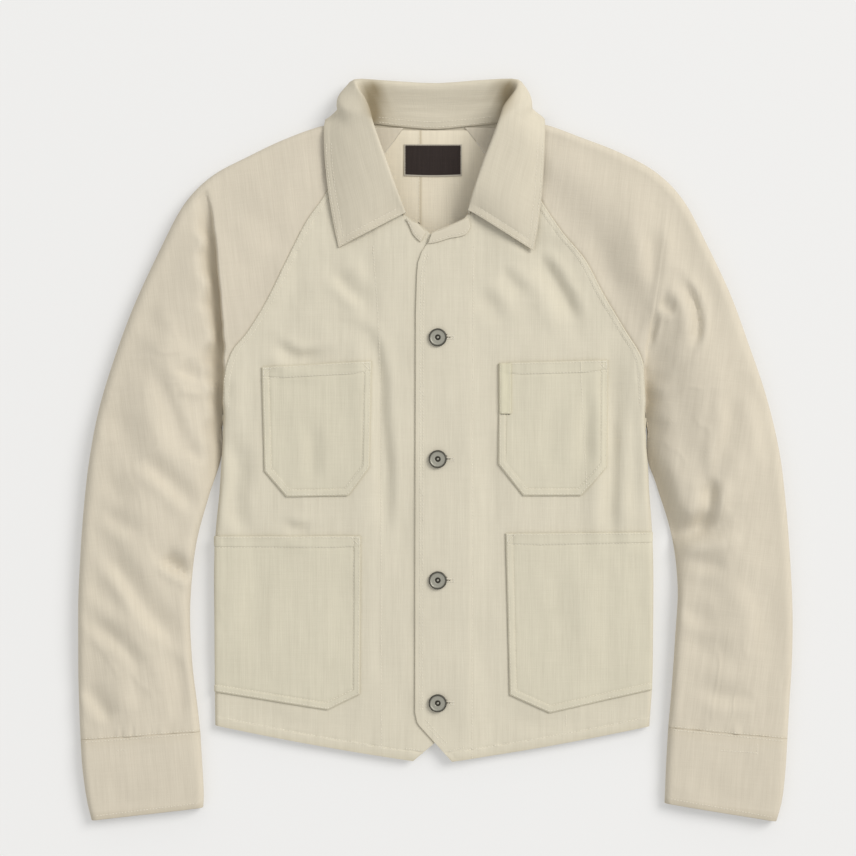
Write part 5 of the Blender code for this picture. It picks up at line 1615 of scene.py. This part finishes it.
buttons = {
    "nodes": ("button_1", "button_2", "button_3", "button_4"),
    "steps": 64,
    "profile": (  # radius, share of the height, tarnish
        (0.0, 0.86, 0.0), (0.55, 0.845, 0.0), (0.95, 0.80, 0.1), (1.2, 0.70, 0.7), (1.35, 0.60, 1.2), (2.3, 0.575, 1.3),
        (2.6, 0.62, 1.1), (2.85, 0.72, 0.6), (3.1, 0.765, 0.15), (3.5, 0.78, 0.05), (5.2, 0.765, 0.05), (6.6, 0.79, 0.05),
        (7.1, 0.83, 0.2), (7.4, 0.90, 0.6), (7.75, 0.97, 0.85), (8.2, 1.0, 0.8), (8.6, 0.975, 0.9), (8.9, 0.87, 1.0),
        (9.0, 0.74, 1.1), (8.9, 0.62, 1.2), (8.5, 0.54, 1.2), (7.6, 0.50, 1.2), (4.6, 0.46, 1.2), (3.3, 0.40, 1.2),
        (2.9, 0.30, 1.2), (2.9, 0.10, 1.2), (2.7, 0.0, 1.2), (0.0, 0.0, 1.2),
    ),
    "hole": {"from": -7.5, "to": 18.6, "slit": 15.2, "half": 1.5},
}


def buildButton(order, node):
    low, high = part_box(node)
    centre = 0.5 * (np.array(low) + np.array(high))[:2] / mm
    base, height = low[2] / mm, (high[2] - low[2]) / mm
    steps = buttons["steps"]
    turn = np.linspace(0.0, 2.0 * math.pi, steps, endpoint=False)
    profile = buttons["profile"]
    points, mask, faces = [], [], []
    for radius, share, tone in profile:
        count = steps if radius else 1
        for a in turn[:count]:
            dent = 0.05 * math.sin(3.0 * a + order) * radius / 9.0
            points.append((centre[0] + radius * math.cos(a), centre[1] + radius * math.sin(a), base + height * share + dent * share))
            mask.append(tone)
    starts = np.cumsum([0] + [steps if row[0] else 1 for row in profile])
    for i in range(len(profile) - 1):
        a, b = starts[i], starts[i + 1]
        for k in range(steps):
            n = (k + 1) % steps
            if not profile[i][0]:
                faces.append((a, b + k, b + n))
            elif not profile[i + 1][0]:
                faces.append((a + n, a + k, b))
            else:
                faces.append((a + k, b + k, b + n, a + n))
    mesh = bpy.data.meshes.new("button%d" % order)
    mesh.from_pydata((np.array(points) * mm).tolist(), [], faces)
    mesh.attributes.new("wearAndPaintedShade", "FLOAT", "POINT").data.foreach_set("value", mask)
    mesh.shade_smooth()
    mesh.materials.append(buttonMetal)
    obj = bpy.data.objects.new("button%d" % order, mesh)
    scene.collection.objects.link(obj)
    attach(obj, "root")
    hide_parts(node)
    hole = buttons["hole"]
    x0, x1, y = centre[0] + hole["from"], hole["to"], centre[1]
    for sign in (-1.0, 1.0):
        lip = ((x0, y + sign * hole["half"]), (x1 - 1.0, y + sign * hole["half"] * 0.85))
        sewBars("stitchesButtonholes", ("frontLeft",), lip, 2.0, 0.75, 0.62)
    sewBars("stitchesButtonholes", ("frontLeft",), ((x1 - 0.6, y - 2.0), (x1 - 0.6, y + 2.0)), 1.8, 0.7, 0.62)
    # Painted shadow: dark thread along the buttonhole's slit beside the button, and a short dark mark above it, stand
    # in for the shade inside the open slit.
    slit = ((centre[0] + 5.0, y + 0.25), (hole["slit"], y))
    sewAlong("darkSlitShadowButtonholes", ("frontLeft",), slit, pitch=1.8, length=2.3, width=0.75)
    sewAlong("darkSlitShadowButtonholes", ("frontLeft",), ((centre[0] + 6.5, y + 3.4), (centre[0] + 9.8, y + 3.0)), pitch=1.6, length=1.9, width=0.7)


for order, node in enumerate(buttons["nodes"], 1):
    buildButton(order, node)
print("buttons are on")

threadSlots = (("Front", "front_cloth"), ("Pocket", "pocket_cloth"), ("Sleeve", "sleeve_cloth"), ("Cuff", "sleeve_cloth"))
threadSlots += (("Back", "back_cloth"), ("Collar", "collar_cloth"), ("NeckBand", "collar_cloth"), ("NeckLabel", "label"))
threadSlots += (("Buttonholes", "front_cloth"),)
for key in grains:
    obj = buildGrains(key, darkCotton if key.startswith("dark") else threadCotton)
    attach(obj, "root")
print("stitches:", sum(len(rows) for rows in grains.values()))


nodeOf = {
    "frontLeft": "front_left", "frontRight": "front_right", "backLeft": "back_left", "backRight": "back_right",
    "sleeveLeft": "sleeve_left", "sleeveRight": "sleeve_right", "cuffLeft": "cuff_left", "cuffRight": "cuff_right",
    "collarCloth": "collar", "neckBandLeft": "neck_band_left", "neckBandRight": "neck_band_right",
    "pocketChestRight": "pocket_chest_right", "pocketChestLeft": "pocket_chest_left",
    "pocketLowerRight": "pocket_lower_right", "pocketLowerLeft": "pocket_lower_left",
    "pocketTab": "pocket_tab", "neckLabel": "neck_label",
}
for name, obj in madeSheets.items():
    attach(obj, "root")
    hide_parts(nodeOf[name])

floorMesh = bpy.data.meshes.new("floor")
floorMesh.from_pydata([(-6, -6, -0.00045), (6, -6, -0.00045), (6, 6, -0.00045), (-6, 6, -0.00045)], [], [(0, 1, 2, 3)])
floor = bpy.data.objects.new("floor", floorMesh)
scene.collection.objects.link(floor)
floorPaint, _, floorShader = newMaterial("paleFloor", 0.95, specular=0.1)
floorShader.inputs["Base Color"].default_value = (*studio["floor"], 1.0)
floorShader.inputs["Emission Color"].default_value = (1.0, 0.996, 0.985, 1.0)
floorShader.inputs["Emission Strength"].default_value = studio["floorGlow"]
floorMesh.materials.append(floorPaint)
